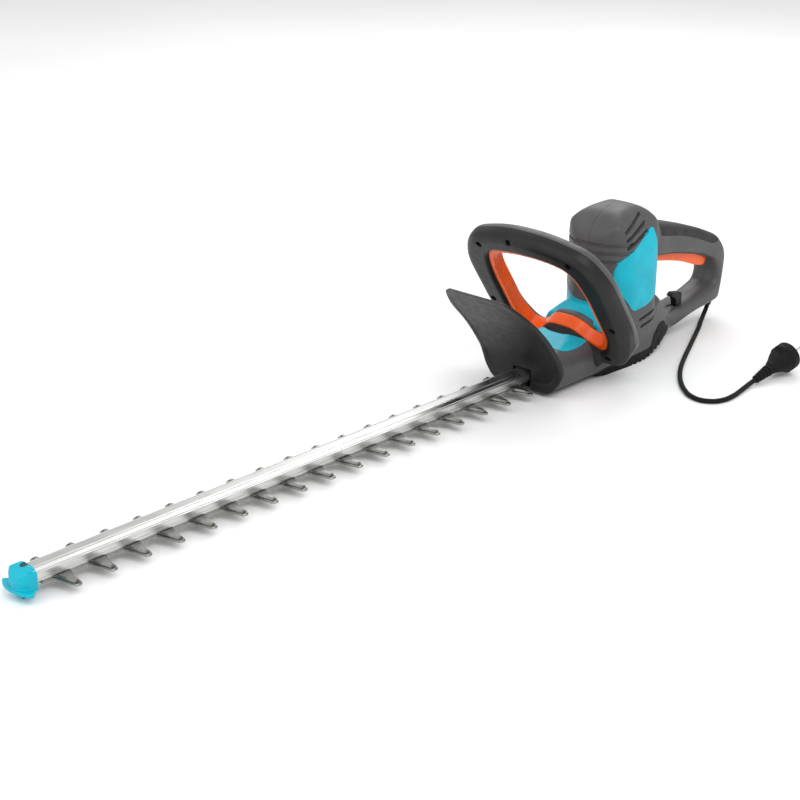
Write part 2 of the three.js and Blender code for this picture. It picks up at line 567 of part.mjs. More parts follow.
// ---- drive -------------------------------------------------------------------------------------
function gearOutline(teeth, cx, cy, turn) {
  const pitchRadius = (GEAR_MODULE * teeth) / 2;
  const root = pitchRadius - 1.25 * GEAR_MODULE;
  const tip = pitchRadius + 0.85 * GEAR_MODULE;
  const outline = [];
  for (let i = 0; i < teeth; i++) {
    const middle = turn + (2 * Math.PI * i) / teeth;
    const step = (2 * Math.PI) / teeth;
    for (const [share, radius] of [[-0.3, root], [-0.1, tip], [0.1, tip], [0.3, root]]) {
      const angle = middle + share * step;
      outline.push([cx + radius * Math.cos(angle), cy + radius * Math.sin(angle)]);
    }
  }
  return outline;
}

const BEARING_Z = 27;
function addDrive() {
  const gearTop = GEAR_Z + GEAR_HEIGHT;
  const shaftAt = [GEAR_X, 0, 0];
  // The wheel has a tooth gap towards the motor, and the pinion a tooth in it.
  const gapTowardsMotor = Math.PI * (1 + 1 / GEAR_TEETH);
  const wheel = prism(ALONG_Z, gearOutline(GEAR_TEETH, GEAR_X, 0, gapTowardsMotor), GEAR_Z, gearTop);
  const bore = turned(rod(4 + GAP, 0, 60), { at: shaftAt, segments: 16 });
  add('drive_gear', cut(wheel, bore), brightSteel);
  const crank = join(
    turned([
      [0, GEAR_Z - 1.6], [14.6, GEAR_Z - 1.6], [14.6, GEAR_Z - GAP], [4, GEAR_Z - GAP], [4, 34], [0, 34],
    ], { at: shaftAt, segments: 16 }),
    turned(rod(6, UPPER_BLADE_Z - 0.2, GEAR_Z - 1), { at: [GEAR_X, STROKE, 0], segments: 14 }),
    turned(rod(6, LOWER_BLADE_Z - 0.3, GEAR_Z - 1), { at: [GEAR_X, -STROKE, 0], segments: 14 }),
  );
  add('crank_shaft', crank, darkSteel);
  const crankBearing = tubeProfile(4 + GAP, 8, BEARING_Z, BEARING_Z + 5);
  add('crank_bearing', turned(crankBearing, { at: shaftAt, segments: 20 }), brightSteel);

  const caseOuter = rounded([
    [-13, -12, 10], [8, -30, 10], [36, -36.4, 26], [66, -24, 26], [72.4, 0, 20], [66, 24, 26],
    [36, 36.4, 26], [8, 30, 10], [-13, 12, 10],
  ], 10);
  const gearRoom = join(
    turned(rod(33.4, 0, BEARING_Z - 2.6), { at: shaftAt, segments: 28 }),
    turned(rod(7.6, 0, BEARING_Z - 2.6), { segments: 16 }),
  );
  const seat = (r, at) => turned([
    [0, 10], [r - 2.4, 10], [r - 2.4, BEARING_Z - 1], [r, BEARING_Z - 0.3], [r, 60], [0, 60],
  ], { at, segments: 16 });
  const plate = join(
    prism(ALONG_Z, caseOuter, 15, BEARING_Z + 2),
    turned(rod(11, 20, BEARING_Z + 6), { at: shaftAt, segments: 16 }),
    turned(rod(14, 20, BEARING_Z + 8), { segments: 16 }),
  );
  add('gear_case', cut(plate, gearRoom, seat(8 + GAP, shaftAt), seat(11 + GAP, [0, 0, 0])), castAluminium);

  const pinion = prism(ALONG_Z, gearOutline(PINION_TEETH, 0, 0, 0), GEAR_Z + 0.4, gearTop - 0.4);
  add('pinion', cut(pinion, turned(rod(2.3, 0, 60), { segments: 12 })), brightSteel);
  add('motor_shaft', turned([
    [0, GEAR_Z + 1], [2, GEAR_Z + 1], [2, gearTop], [4, gearTop + 0.6], [4, 141], [0, 141],
  ], { segments: 16 }), brightSteel);
  const lowerBearing = tubeProfile(4 + GAP, 11, BEARING_Z, BEARING_Z + 7);
  add('lower_motor_bearing', turned(lowerBearing, { segments: 16 }), brightSteel);
  const upperBearing = tubeProfile(4 + GAP, 9.5, 133, 139);
  add('upper_motor_bearing', turned(upperBearing, { segments: 16 }), brightSteel);
  const vanes = Array.from({ length: 8 }, (_, i) => {
    const angle = (2 * Math.PI * i) / 8;
    const frame = new THREE.Matrix4().makeRotationZ(angle);
    return prism(frame, box2(8, 28.5, -0.8, 0.8), 40, 47);
  });
  add('fan', join(turned(tubeProfile(4 + GAP, 29, 38, 40.4), { segments: 16 }), ...vanes), blackPlastic);
  add('armature', turned([
    [4 + GAP, 50], [13, 50], [14, 57], [17.2, 57], [17.2, 97], [14, 97], [13, 107], [4 + GAP, 107],
    [4 + GAP, 50],
  ], { segments: 16 }), darkSteel);
  add('commutator', turned(tubeProfile(4 + GAP, 11, 112, 125), { segments: 16 }), copper);
  add('motor_stator', cut(
    turned(tubeProfile(18, 31, 59, 95), { segments: 24 }),
    block(28, 40, -60, 60, 50, 110),
    block(-40, -28, -60, 60, 50, 110),
  ), darkSteel);
  add('field_winding_upper', turned(tubeProfile(19, 28, 95 + GAP, 104), { segments: 16 }), copper);
  add('field_winding_lower', turned(tubeProfile(19, 28, 50, 59 - GAP), { segments: 16 }), copper);
  for (const [name, side] of [['left', 1], ['right', -1]]) {
    const span = (near, far) => [side * near, side * far].sort((a, b) => a - b);
    add(`brush_holder_${name}`, cut(
      block(-5, 5, ...span(13.6, 28), 113, 124), block(-3.4, 3.4, ...span(10, 40), 115, 122),
    ), brass);
    add(`carbon_brush_${name}`, block(-3.1, 3.1, ...span(11.4, 24), 115.3, 121.7), carbon);
  }
  // Bracket across the tower that holds the upper bearing, cut back to the tower's inner wall.
  const bridge = join(
    prism(ALONG_Z, rounded([[-40, -12, 4], [34, -12, 4], [34, 12, 4], [-40, 12, 4]], 4), 134, 137),
    turned(rod(12, 131, 140), { segments: 16 }),
  ).intersect(tower(WALL + 2.6));
  add('bearing_bracket', cut(bridge, turned([
    [0, 120], [9.8, 120], [9.8, 139.4], [7, 140], [7, 150], [0, 150],
  ], { segments: 16 })), blackPlastic);
}

// ---- foot, cord and plug -----------------------------------------------------------------------
const RIB_COUNT = 8;
const RIB_PITCH = 10;
const FOOT_REAR_X = -88;
function addFoot() {
  const ribs = [];
  for (let i = 0; i < RIB_COUNT; i++) {
    const x = FOOT_REAR_X + i * RIB_PITCH;
    const z = 9.6 - 8.6 * Math.sin(((i * RIB_PITCH) / 76) * (Math.PI / 2));
    ribs.push([x - 3, z + 1.8], [x, z], [x + 4.5, z - 0.4]);
  }
  const outline = [...ribs, [-10, 0], [46, 0], [58, 2.4], [64, 9], [-60, 9], [-91, 20]];
  const plan = rounded([
    [66, -27, 8], [-18, -28, 20], [-60, -22, 16], [-94, -12, 6], [-94, 12, 6], [-60, 22, 16], [-18, 28, 20],
    [66, 27, 8],
  ], 8);
  const pad = across(outline, -50, 50).intersect(prism(ALONG_Z, plan, -5, 30));
  add('foot', largest(cut(pad, base(-GAP))), blackRubber);
}

// The cord's centre line: out of the sleeve, down to the floor, and round to the plug.
const CORD_ROUTE = [
  [-188.6, 3.1, 12.2], [-183.5, 4.4, 8.1], [-177, 6.6, 5], [-169, 10, 3.1], [-160, 14.4, 2.6],
  [-147, 21.5, 2.6], [-130, 30, 2.6], [-108, 40.5, 2.6], [-84, 52, 2.6], [-58, 64.5, 2.6],
  [-33, 77, 2.6], [-10, 90.5, 2.6], [10, 105, 2.6], [26, 120, 2.6], [37, 135, 2.6], [40, 149, 2.6],
  [34, 160.5, 2.6], [22, 166, 2.6], [7, 166.4, 2.6], [-9, 164.2, 2.7], [-22, 162.4, 3.3],
  [-28.7, 162, 4], [-36.5, 162.5, 5.6],
];
const PLUG_AXIS = new THREE.Vector3(-0.965, 0.07, 0.235).normalize();
const PLUG_LENGTH = 57;
const PLUG_START = new THREE.Vector3(...CORD_ROUTE.at(-1)).addScaledVector(PLUG_AXIS, 2 * GAP);
function addCord() {
  const points = CORD_ROUTE.map((p) => new THREE.Vector3(...p));
  const path = new THREE.CatmullRomCurve3(points, false, 'centripetal');
  const geometry = new THREE.ExtrudeGeometry(
    new THREE.Shape(circle(0, 0, CORD_DIAMETER / 2, 8)), { steps: 34, extrudePath: path, curveSegments: 1 },
  );
  add('power_cord', solid(geometry), blackRubber);
  add('cord_sleeve', turned([
    [0, 0], [5.8, 0], [5.8, 4], [4.9, 6], [3.5, sleeveLength - 0.6], [0, sleeveLength - 0.6],
  ], { at: SLEEVE_FROM.toArray(), axis: sleeveAxis, segments: 14 }), blackRubber);

  const at = PLUG_START.toArray();
  const relief = [[0, 0], [3.4, 0], [4, 2]];
  for (let i = 0; i < 4; i++) relief.push([4.4 + i * 0.5, 5 + i * 5], [3.6 + i * 0.5, 7 + i * 5]);
  add('plug_body', turned([
    ...relief, [6.4, 25], [9, 32], [13, 42], [15, 46], [15, PLUG_LENGTH], [0, PLUG_LENGTH],
  ], { at, axis: PLUG_AXIS, segments: 12 }), blackRubber);
  const sideways = new THREE.Vector3(0, 1, 0).cross(PLUG_AXIS).normalize();
  const level = PLUG_AXIS.clone().cross(sideways).normalize();
  const pinLine = level.multiplyScalar(0.72).addScaledVector(sideways, 0.69).normalize();
  for (const [i, side] of [[1, 1], [2, -1]]) {
    const foot = PLUG_START.clone().addScaledVector(PLUG_AXIS, PLUG_LENGTH + GAP).addScaledVector(pinLine, side * 9.2);
    add(`plug_pin_${i}`, turned([[0, 0], [2.2, 0], [2.2, 17], [1.2, 18.6], [0, 18.6]], {
      at: foot.toArray(), axis: PLUG_AXIS, segments: 10,
    }), brass);
  }
}

// Moulded hook that holds the extension lead's loop, standing in a recess of the lower bar.
function addHook() {
  const side = rounded([
    [-124, 32.4, 0], [-124, 45, 2], [-108, 48, 2], [-104, 44, 2], [-112, 41, 2], [-114, 33.4, 0],
  ], 2);
  add('cable_hook', across(side, 3.4, 11.4), blackPlastic);
}

addHousing();
addHandGuard();
addBladeUnit();
addTipProtector();
addFrontHandle();
addTrigger();
addDrive();
addFoot();
addCord();
addHook();

export default trimmer;
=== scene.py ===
"""Corded hedge trimmer: the finished surfaces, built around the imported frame.

Outlines are drawn in millimetres, as in the design, and turned into metres when a mesh is made.
"""
import json
import math

import bmesh
import bpy
from mathutils import Matrix, Vector


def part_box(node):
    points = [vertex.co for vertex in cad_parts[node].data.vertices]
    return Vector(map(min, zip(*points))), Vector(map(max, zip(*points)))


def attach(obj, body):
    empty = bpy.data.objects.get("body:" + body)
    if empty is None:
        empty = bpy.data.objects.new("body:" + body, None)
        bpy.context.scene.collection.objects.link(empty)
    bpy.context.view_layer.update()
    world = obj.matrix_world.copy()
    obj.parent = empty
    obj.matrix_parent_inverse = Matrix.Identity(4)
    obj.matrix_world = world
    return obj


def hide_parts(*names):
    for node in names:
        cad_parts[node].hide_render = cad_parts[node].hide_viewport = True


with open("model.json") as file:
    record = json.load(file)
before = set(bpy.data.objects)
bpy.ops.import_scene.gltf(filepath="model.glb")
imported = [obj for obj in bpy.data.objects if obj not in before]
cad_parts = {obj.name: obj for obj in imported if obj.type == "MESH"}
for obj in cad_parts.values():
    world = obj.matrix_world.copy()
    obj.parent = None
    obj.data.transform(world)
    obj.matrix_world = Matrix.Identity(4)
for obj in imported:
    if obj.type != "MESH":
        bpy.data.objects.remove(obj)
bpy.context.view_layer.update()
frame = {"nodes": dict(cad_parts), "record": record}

MM = 0.001

# ---- driving dimensions, in millimetres --------------------------------------------------------
SEAM = 0.4  # line left open between two shells
PROUD = 0.35  # how far an inset panel stands out of the shell round it
TOWER_HALF_WIDTH = 41
BASE_HALF_WIDTH = 40
BASE_WALL = 3.4
TOWER_WALL = 5
COVER_WALL = 2.6  # the teal cover's, where it runs up the tower
HANDLE_GAP = 0.35  # all round the front handle, where it sits on the body
BASE_FRONT_X = 133
GRIP_HALF_WIDTH = 18

TOOTH_PITCH = 34
TOOTH_COUNT = 17
FIRST_TOOTH_X = 158
STRIP_HALF_WIDTH = 8.5
STROKE = 8
YOKE_HALF_X = 22.6
YOKE_HALF_Y = 14.6
YOKE_RIM = 4.6
GEAR_X = 36

LOOP_TILT = math.radians(34)
LOOP_ORIGIN = Vector((53, 0, 39.4))
LOOP_HALF_WIDTH = 89
LOOP_HEIGHT = 154
LOOP_BACK = -9.5
LOOP_FRONT = 15.5
LOOP_SEAM = 1
LOOP_INNER_HALF = 59.5
LOOP_INNER_TOP = 129
BAR_BACK = -3.4
BAR_FRONT = 11.4
BAR_TRAVEL = 3
HANDLE_SCREWS = [(-76, 47), (76, 47), (-52, -4), (52, -4), (-56, 134), (56, 134)]
HOUSING_SCREWS = [(124, 30), (-40, 28), (-188, 82)]

TRIGGER_HALF_ROOM = 8.2
RAIL_HALF_ROOM = 11.2
HEAD_SEAT = 9.3  # where the handle's and the housing's screw heads start, along their axes
HEAD_RADIUS = 3.2

CAMERA_AT = (1.36178, 0.99381, 0.61566)  # metres
CAMERA_AZIMUTH = math.radians(133.4718)
CAMERA_ELEVATION = math.radians(21.7029)
FOCAL_LENGTH = 75.6

CORD_DIAMETER = 5
PLUG_AXIS = Vector((-0.965, 0.07, 0.235)).normalized()
SLEEVE_FROM = Vector((-199, -1, 31))
SLEEVE_TO = Vector((-189, 3, 12.6))


# ---- materials ---------------------------------------------------------------------------------
class Finish:
    """One procedural material, put together node by node round a Principled shader."""

    def __init__(self, name):
        self.material = bpy.data.materials.new(name)
        self.material.use_nodes = True
        self.tree = self.material.node_tree
        self.shader = self.tree.nodes["Principled BSDF"]
        self.place = self.tree.nodes.new("ShaderNodeTexCoord").outputs["Object"]

    def link(self, output, target):
        self.tree.links.new(output, target)

    def noise(self, scale, detail=3.0, stretch=None):
        node = self.tree.nodes.new("ShaderNodeTexNoise")
        node.inputs["Scale"].default_value = scale
        node.inputs["Detail"].default_value = detail
        if stretch:
            mapping = self.tree.nodes.new("ShaderNodeMapping")
            mapping.inputs["Scale"].default_value = stretch
            self.link(self.place, mapping.inputs["Vector"])
            self.link(mapping.outputs["Vector"], node.inputs["Vector"])
        else:
            self.link(self.place, node.inputs["Vector"])
        return node.outputs["Fac"]

    def ramp(self, value, low, high, start=0.35, end=0.65):
        node = self.tree.nodes.new("ShaderNodeValToRGB")
        node.color_ramp.elements[0].position = start
        node.color_ramp.elements[0].color = (*low, 1)
        node.color_ramp.elements[1].position = end
        node.color_ramp.elements[1].color = (*high, 1)
        self.link(value, node.inputs["Fac"])
        return node.outputs["Color"]

    def spread(self, value, low, high):
        node = self.tree.nodes.new("ShaderNodeMapRange")
        node.inputs["From Min"].default_value = 0.3
        node.inputs["From Max"].default_value = 0.7
        node.inputs["To Min"].default_value = low
        node.inputs["To Max"].default_value = high
        self.link(value, node.inputs["Value"])
        return node.outputs["Result"]

    def mix(self, share, first, second):
        node = self.tree.nodes.new("ShaderNodeMix")
        node.data_type = "RGBA"
        self.link(share, node.inputs["Factor"])
        self.link(first, node.inputs["A"])
        self.link(second, node.inputs["B"])
        return node.outputs["Result"]

    def edges(self, start, end):
        """Rises from 0 to 1 on sharply convex edges, where handling polishes a surface."""
        geometry = self.tree.nodes.new("ShaderNodeNewGeometry")
        node = self.tree.nodes.new("ShaderNodeMapRange")
        node.inputs["From Min"].default_value = start
        node.inputs["From Max"].default_value = end
        self.link(geometry.outputs["Pointiness"], node.inputs["Value"])
        return node.outputs["Result"]

    def bump(self, height, strength, distance):
        node = self.tree.nodes.new("ShaderNodeBump")
        node.inputs["Strength"].default_value = strength
        node.inputs["Distance"].default_value = distance
        self.link(height, node.inputs["Height"])
        self.link(node.outputs["Normal"], self.shader.inputs["Normal"])


def tinted(color, factor):
    return tuple(min(1.0, channel * factor) for channel in color)


def plastic(name, color, roughness, grain=1500.0, grain_depth=0.00005, coat=0.0, specular=0.3):
    """Moulded plastic: spark-eroded grain, a little drift in tone and edges rubbed lighter."""
    finish = Finish(name)
    drift = finish.ramp(finish.noise(38.0), tinted(color, 0.88), tinted(color, 1.1))
    worn = finish.ramp(finish.noise(90.0), tinted(color, 1.25), tinted(color, 1.5))
    finish.link(finish.mix(finish.edges(0.52, 0.62), drift, worn), finish.shader.inputs["Base Color"])
    spread = finish.spread(finish.noise(120.0), roughness - 0.05, roughness + 0.07)
    finish.link(spread, finish.shader.inputs["Roughness"])
    finish.bump(finish.noise(grain, 2.0), 0.35, grain_depth)
    finish.shader.inputs["Specular IOR Level"].default_value = specular
    finish.shader.inputs["Coat Weight"].default_value = coat
    finish.shader.inputs["Coat Roughness"].default_value = 0.2
    return finish.material


def rubber(name, color, roughness=0.72):
    """Soft rubber with dust in its grain."""
    finish = Finish(name)
    dusty = finish.ramp(finish.noise(60.0, 6.0), tinted(color, 0.8), tinted(color, 1.6), 0.3, 0.75)
    finish.link(dusty, finish.shader.inputs["Base Color"])
    finish.link(finish.spread(finish.noise(200.0), roughness - 0.08, roughness + 0.08),
                finish.shader.inputs["Roughness"])
    finish.bump(finish.noise(900.0, 3.0), 0.4, 0.00008)
    finish.shader.inputs["Specular IOR Level"].default_value = 0.2
    finish.shader.inputs["Sheen Weight"].default_value = 0.03
    return finish.material


def metal(name, color, roughness, stretch=(4.0, 260.0, 260.0), depth=0.00002):
    """Metal with fine lines of working along one axis and faint handling marks."""
    finish = Finish(name)
    lines = finish.noise(6.0, 4.0, stretch)
    finish.link(finish.ramp(lines, tinted(color, 0.82), tinted(color, 1.08)),
                finish.shader.inputs["Base Color"])
    finish.link(finish.spread(finish.noise(50.0, 5.0), roughness - 0.06, roughness + 0.1),
                finish.shader.inputs["Roughness"])
    finish.shader.inputs["Metallic"].default_value = 1.0
    finish.bump(lines, 0.25, depth)
    return finish.material


BODY_GREY = plastic("body_grey", (0.082, 0.082, 0.085), 0.40)
CHARCOAL = plastic("handle_charcoal", (0.012, 0.012, 0.0125), 0.42)
TEAL = plastic("teal_plastic", (0.0, 0.43, 0.56), 0.40, grain=700.0, grain_depth=0.00002)
ORANGE = plastic("orange_plastic", (1.0, 0.115, 0.006), 0.28, 600.0, 0.00001, coat=0.15)
BLACK_PLASTIC = plastic("black_plastic", (0.006, 0.006, 0.006), 0.5)
BLACK_RUBBER = rubber("black_rubber", (0.004, 0.004, 0.004))
SOFT_GREY = rubber("soft_grip", (0.030, 0.030, 0.032), 0.6)
BLADE_STEEL = metal("blade_steel", (0.36, 0.36, 0.34), 0.30, (90.0, 30.0, 90.0))
# Darker steel for the teeth's slanted ground facets: painted shade for the shade those facets catch. Their
# lengthwise grain is their own.
GROUND_FACET_PAINTED_SHADE = metal("ground_facet_painted_shade", (0.20, 0.20, 0.19), 0.25, (30.0, 200.0, 30.0))
RAIL_ALUMINIUM = metal("rail_aluminium", (0.66, 0.66, 0.65), 0.30)
DARK_STEEL = metal("fastener_steel", (0.10, 0.10, 0.105), 0.35, (80.0, 80.0, 80.0))
BEARING_STEEL = metal("bearing_steel", (0.62, 0.62, 0.63), 0.25, (120.0, 120.0, 20.0))
IRON = metal("laminated_iron", (0.20, 0.20, 0.21), 0.45, (3.0, 3.0, 400.0), 0.00008)
COPPER = metal("copper", (0.72, 0.30, 0.15), 0.30, (60.0, 60.0, 400.0), 0.0001)
NICKEL = metal("nickel_plate", (0.74, 0.73, 0.70), 0.2, (40.0, 40.0, 40.0))
BRASS = metal("brass", (0.80, 0.62, 0.28), 0.25, (120.0, 120.0, 60.0))

SLOT_FINISH = {
    "body_grey": BODY_GREY, "handle_charcoal": CHARCOAL, "teal_plastic": TEAL,
    "orange_plastic": ORANGE, "blade_steel": BLADE_STEEL, "rail_aluminium": RAIL_ALUMINIUM,
    "fastener_steel": DARK_STEEL, "bearing_steel": BEARING_STEEL, "laminated_iron": IRON,
    "copper": COPPER, "brass": BRASS, "black_plastic": BLACK_PLASTIC, "black_rubber": BLACK_RUBBER,
}
SLOT_OF = {part["node"]: part["material_slot"] for part in frame["record"]["subparts"]}


def finish_carried_nodes():
    for name, node in frame["nodes"].items():
        node.data.materials.clear()
        node.data.materials.append(NICKEL if name.startswith("plug_pin") else SLOT_FINISH[SLOT_OF[name]])


# ---- outlines and solids -----------------------------------------------------------------------
def rounded(points, radius, steps=7):
    """A closed outline with each corner turned into a curve. A point is (a, b) or (a, b, own radius)."""
    out = []
    for i, point in enumerate(points):
        corner = Vector(point[:2])
        before = Vector(points[i - 1][:2]) - corner
        after = Vector(points[(i + 1) % len(points)][:2]) - corner
        wanted = point[2] if len(point) > 2 else radius
        reach = min(wanted, before.length * 0.45, after.length * 0.45)
        if reach < 0.05:
            out.append(corner)
            continue
        start = corner + before.normalized() * reach
        end = corner + after.normalized() * reach
        for k in range(steps + 1):
            t = k / steps
            out.append(start * (1 - t) ** 2 + corner * 2 * t * (1 - t) + end * t * t)
    return out


def mirrored(half):
    return [*half, *[(-p[0], *p[1:]) for p in reversed(half)]]


def frame_of(u, v, w, origin=(0, 0, 0)):
    matrix = Matrix((u, v, w)).transposed().to_4x4()
    matrix.translation = Vector(origin)
    return matrix


X, Y, Z = Vector((1, 0, 0)), Vector((0, 1, 0)), Vector((0, 0, 1))
LOOP_UP = Vector((math.sin(LOOP_TILT), 0, math.cos(LOOP_TILT)))
LOOP_NORMAL = Vector((math.cos(LOOP_TILT), 0, -math.sin(LOOP_TILT)))
ALONG_X = frame_of(Y, Z, X)
ALONG_Y = frame_of(X, Z, Y)
ALONG_Z = frame_of(X, Y, Z)
IN_LOOP = frame_of(Y, LOOP_UP, LOOP_NORMAL, LOOP_ORIGIN)


def to_object(shape, name="work"):
    """Closes a bmesh drawn in millimetres into an object in metres."""
    bmesh.ops.recalc_face_normals(shape, faces=shape.faces)
    bmesh.ops.scale(shape, vec=(MM, MM, MM), verts=shape.verts)
    mesh = bpy.data.meshes.new(name)
    shape.to_mesh(mesh)
    shape.free()
    made = bpy.data.objects.new(name, mesh)
    bpy.context.scene.collection.objects.link(made)
    return made


def loft(rings, matrix=ALONG_Z):
    """A closed solid through rings of (u, v, w) points, each ring with as many points as the last."""
    shape = bmesh.new()
    rows = [[shape.verts.new(matrix @ Vector(p)) for p in ring] for ring in rings]
    count = len(rows[0])
    for lower, upper in zip(rows, rows[1:]):
        for i in range(count):
            j = (i + 1) % count
            shape.faces.new((lower[i], lower[j], upper[j], upper[i]))
    shape.faces.new(list(reversed(rows[0])))
    shape.faces.new(rows[-1])
    return to_object(shape)


def prism(matrix, outline, a, b):
    return loft([[(p[0], p[1], w) for p in outline] for w in (a, b)], matrix)


def offset(outline, distance):
    """The outline moved inwards by the distance, or outwards if it is negative."""
    count = len(outline)
    area = sum(outline[i - 1][0] * outline[i][1] - outline[i][0] * outline[i - 1][1] for i in range(count))
    turn = distance if area > 0 else -distance
    moved = []
    for i, point in enumerate(outline):
        along = (outline[(i + 1) % count] - outline[i - 1]).normalized()
        moved.append(point + Vector((-along.y, along.x)) * turn)
    return moved


def pillow(matrix, outline, a, b, edge, deep, steps=6):
    """A prism whose two rims are rounded over; a negative edge flares it, to cut a rounded hole."""
    near = [(a + deep * (1 - math.cos(t)), edge * (1 - math.sin(t)))
            for t in (math.pi / 2 * k / steps for k in range(steps + 1))]
    far = [(a + b - w, inset) for w, inset in reversed(near)]
    return loft([[(p.x, p.y, w) for p in offset(outline, inset)] for w, inset in near + far], matrix)


def across(outline, y0, y1):
    """A side view outline, (x, z), extruded across the tool."""
    return prism(ALONG_Y, outline, y0, y1)


def block(x0, x1, y0, y1, z0, z1):
    return prism(ALONG_Z, [(x0, y0), (x1, y0), (x1, y1), (x0, y1)], z0, z1)


def turned(profile, at, axis, segments=48, radius_at=None):
    """A body of revolution. The profile is (radius, height) pairs that start and end on the axis."""
    turn = Z.rotation_difference(Vector(axis).normalized()).to_matrix().to_4x4()
    turn.translation = Vector(at)
    shape = bmesh.new()
    rows = []
    for radius, height in profile[1:-1]:
        row = []
        for i in range(segments):
            angle = 2 * math.pi * i / segments
            reach = radius_at(radius, height, angle) if radius_at else radius
            point = Vector((reach * math.cos(angle), reach * math.sin(angle), height))
            row.append(shape.verts.new(turn @ point))
        rows.append(row)
    for lower, upper in zip(rows, rows[1:]):
        for i in range(segments):
            j = (i + 1) % segments
            shape.faces.new((lower[i], lower[j], upper[j], upper[i]))
    for row, end in ((rows[0], profile[0]), (rows[-1], profile[-1])):
        tip = shape.verts.new(turn @ Vector((0, 0, end[1])))
        for i in range(segments):
            shape.faces.new((row[i], row[(i + 1) % segments], tip))
    return to_object(shape)


def bake(target):
    """Applies the object's modifiers to its mesh."""
    graph = bpy.context.evaluated_depsgraph_get()
    mesh = bpy.data.meshes.new_from_object(target.evaluated_get(graph))
    old = target.data
    target.modifiers.clear()
    target.data = mesh
    bpy.data.meshes.remove(old)
    return target


def combine(target, operation, tools):
    for tool in tools:
        modifier = target.modifiers.new("combine", "BOOLEAN")
        modifier.operation = operation
        modifier.solver = "MANIFOLD"
        modifier.object = tool
        bake(target)
        bpy.data.objects.remove(tool)
    return target


def cut(target, *tools):
    return combine(target, "DIFFERENCE", tools)


def join(target, *tools):
    return combine(target, "UNION", tools)


def common(target, *tools):
    return combine(target, "INTERSECT", tools)


def soften(target, voxel, passes):
    """Rebuilds the surface on an even grid and lets its edges sink into rounds."""
    remesh = target.modifiers.new("remesh", "REMESH")
    remesh.mode = "VOXEL"
    remesh.voxel_size = voxel * MM
    smooth = target.modifiers.new("smooth", "SMOOTH")
    smooth.factor = 0.5
    smooth.iterations = passes
    return bake(target)


def copied(target):
    made = target.copy()
    made.data = target.data.copy()
    bpy.context.scene.collection.objects.link(made)
    return made


def swollen(target, amount):
    """A copy of the solid with its surface moved out by that many millimetres."""
    made = copied(target)
    modifier = made.modifiers.new("swell", "DISPLACE")
    modifier.strength = amount * MM
    modifier.mid_level = 0
    return bake(made)


def largest(target, share=1.0):
    """Keeps a mesh's biggest loose part, and any part with at least that share of its points."""
    shape = bmesh.new()
    shape.from_mesh(target.data)
    left = set(shape.verts)
    groups = []
    while left:
        stack = [left.pop()]
        group = {stack[0]}
        while stack:
            for edge in stack.pop().link_edges:
                for vert in edge.verts:
                    if vert in left:
                        left.discard(vert)
                        group.add(vert)
                        stack.append(vert)
        groups.append(group)
    least = share * max(len(group) for group in groups)
    loose = [v for group in groups if len(group) < least for v in group]
    bmesh.ops.delete(shape, geom=loose, context="VERTS")
    shape.to_mesh(target.data)
    shape.free()
    return target


def piece(target, name, body, finish, node, crease=32):
    """Names a finished piece, gives it its material, and has it stand for a node on its body."""
    target.name = name
    target.data.name = name
    target.data.materials.clear()
    target.data.materials.append(finish)
    target.data.shade_smooth()
    target.data.set_sharp_from_angle(angle=math.radians(crease))
    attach(target, body)
    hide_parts(node)
    return target


# ---- camera ------------------------------------------------------------------------------------
def add_camera():
    level = Vector((math.sin(CAMERA_AZIMUTH), -math.cos(CAMERA_AZIMUTH), 0))
    back = level * math.cos(CAMERA_ELEVATION) + Z * math.sin(CAMERA_ELEVATION)
    right = Vector((math.cos(CAMERA_AZIMUTH), math.sin(CAMERA_AZIMUTH), 0))
    data = bpy.data.cameras.new("camera")
    data.sensor_width = 36
    data.lens = FOCAL_LENGTH
    data.clip_start = 0.05
    camera = bpy.data.objects.new("camera", data)
    bpy.context.scene.collection.objects.link(camera)
    camera.matrix_world = frame_of(right, back.cross(right), back, CAMERA_AT)
    bpy.context.scene.camera = camera
    bpy.context.scene.view_settings.view_transform = "Standard"


# ---- cord and plug -----------------------------------------------------------------------------
# The cord's centre line in metres: out of the sleeve, down to the floor, and round to the plug.
CORD_ROUTE = [
    (-0.1886, 0.0031, 0.0122), (-0.1835, 0.0044, 0.0081), (-0.177, 0.0066, 0.005),
    (-0.169, 0.010, 0.0031), (-0.160, 0.0144, 0.0026), (-0.147, 0.0215, 0.0026),
    (-0.130, 0.030, 0.0026), (-0.108, 0.0405, 0.0026), (-0.084, 0.052, 0.0026),
    (-0.058, 0.0645, 0.0026), (-0.033, 0.077, 0.0026), (-0.010, 0.0905, 0.0026),
    (0.010, 0.105, 0.0026), (0.026, 0.120, 0.0026), (0.037, 0.135, 0.0026), (0.040, 0.149, 0.0026),
    (0.034, 0.1605, 0.0026), (0.022, 0.166, 0.0026), (0.007, 0.1664, 0.0026),
    (-0.009, 0.1642, 0.0027), (-0.022, 0.1624, 0.0033), (-0.0287, 0.162, 0.004),
    (-0.0365, 0.1625, 0.0056),
]
PLUG_START = Vector(CORD_ROUTE[-1]) / MM + PLUG_AXIS * 0.6
PLUG_LENGTH = 57


def blend(first, second, start, end, t):
    """The point that lies between first and second as t lies between start and end."""
    return first * ((end - t) / (end - start)) + second * ((t - start) / (end - start))


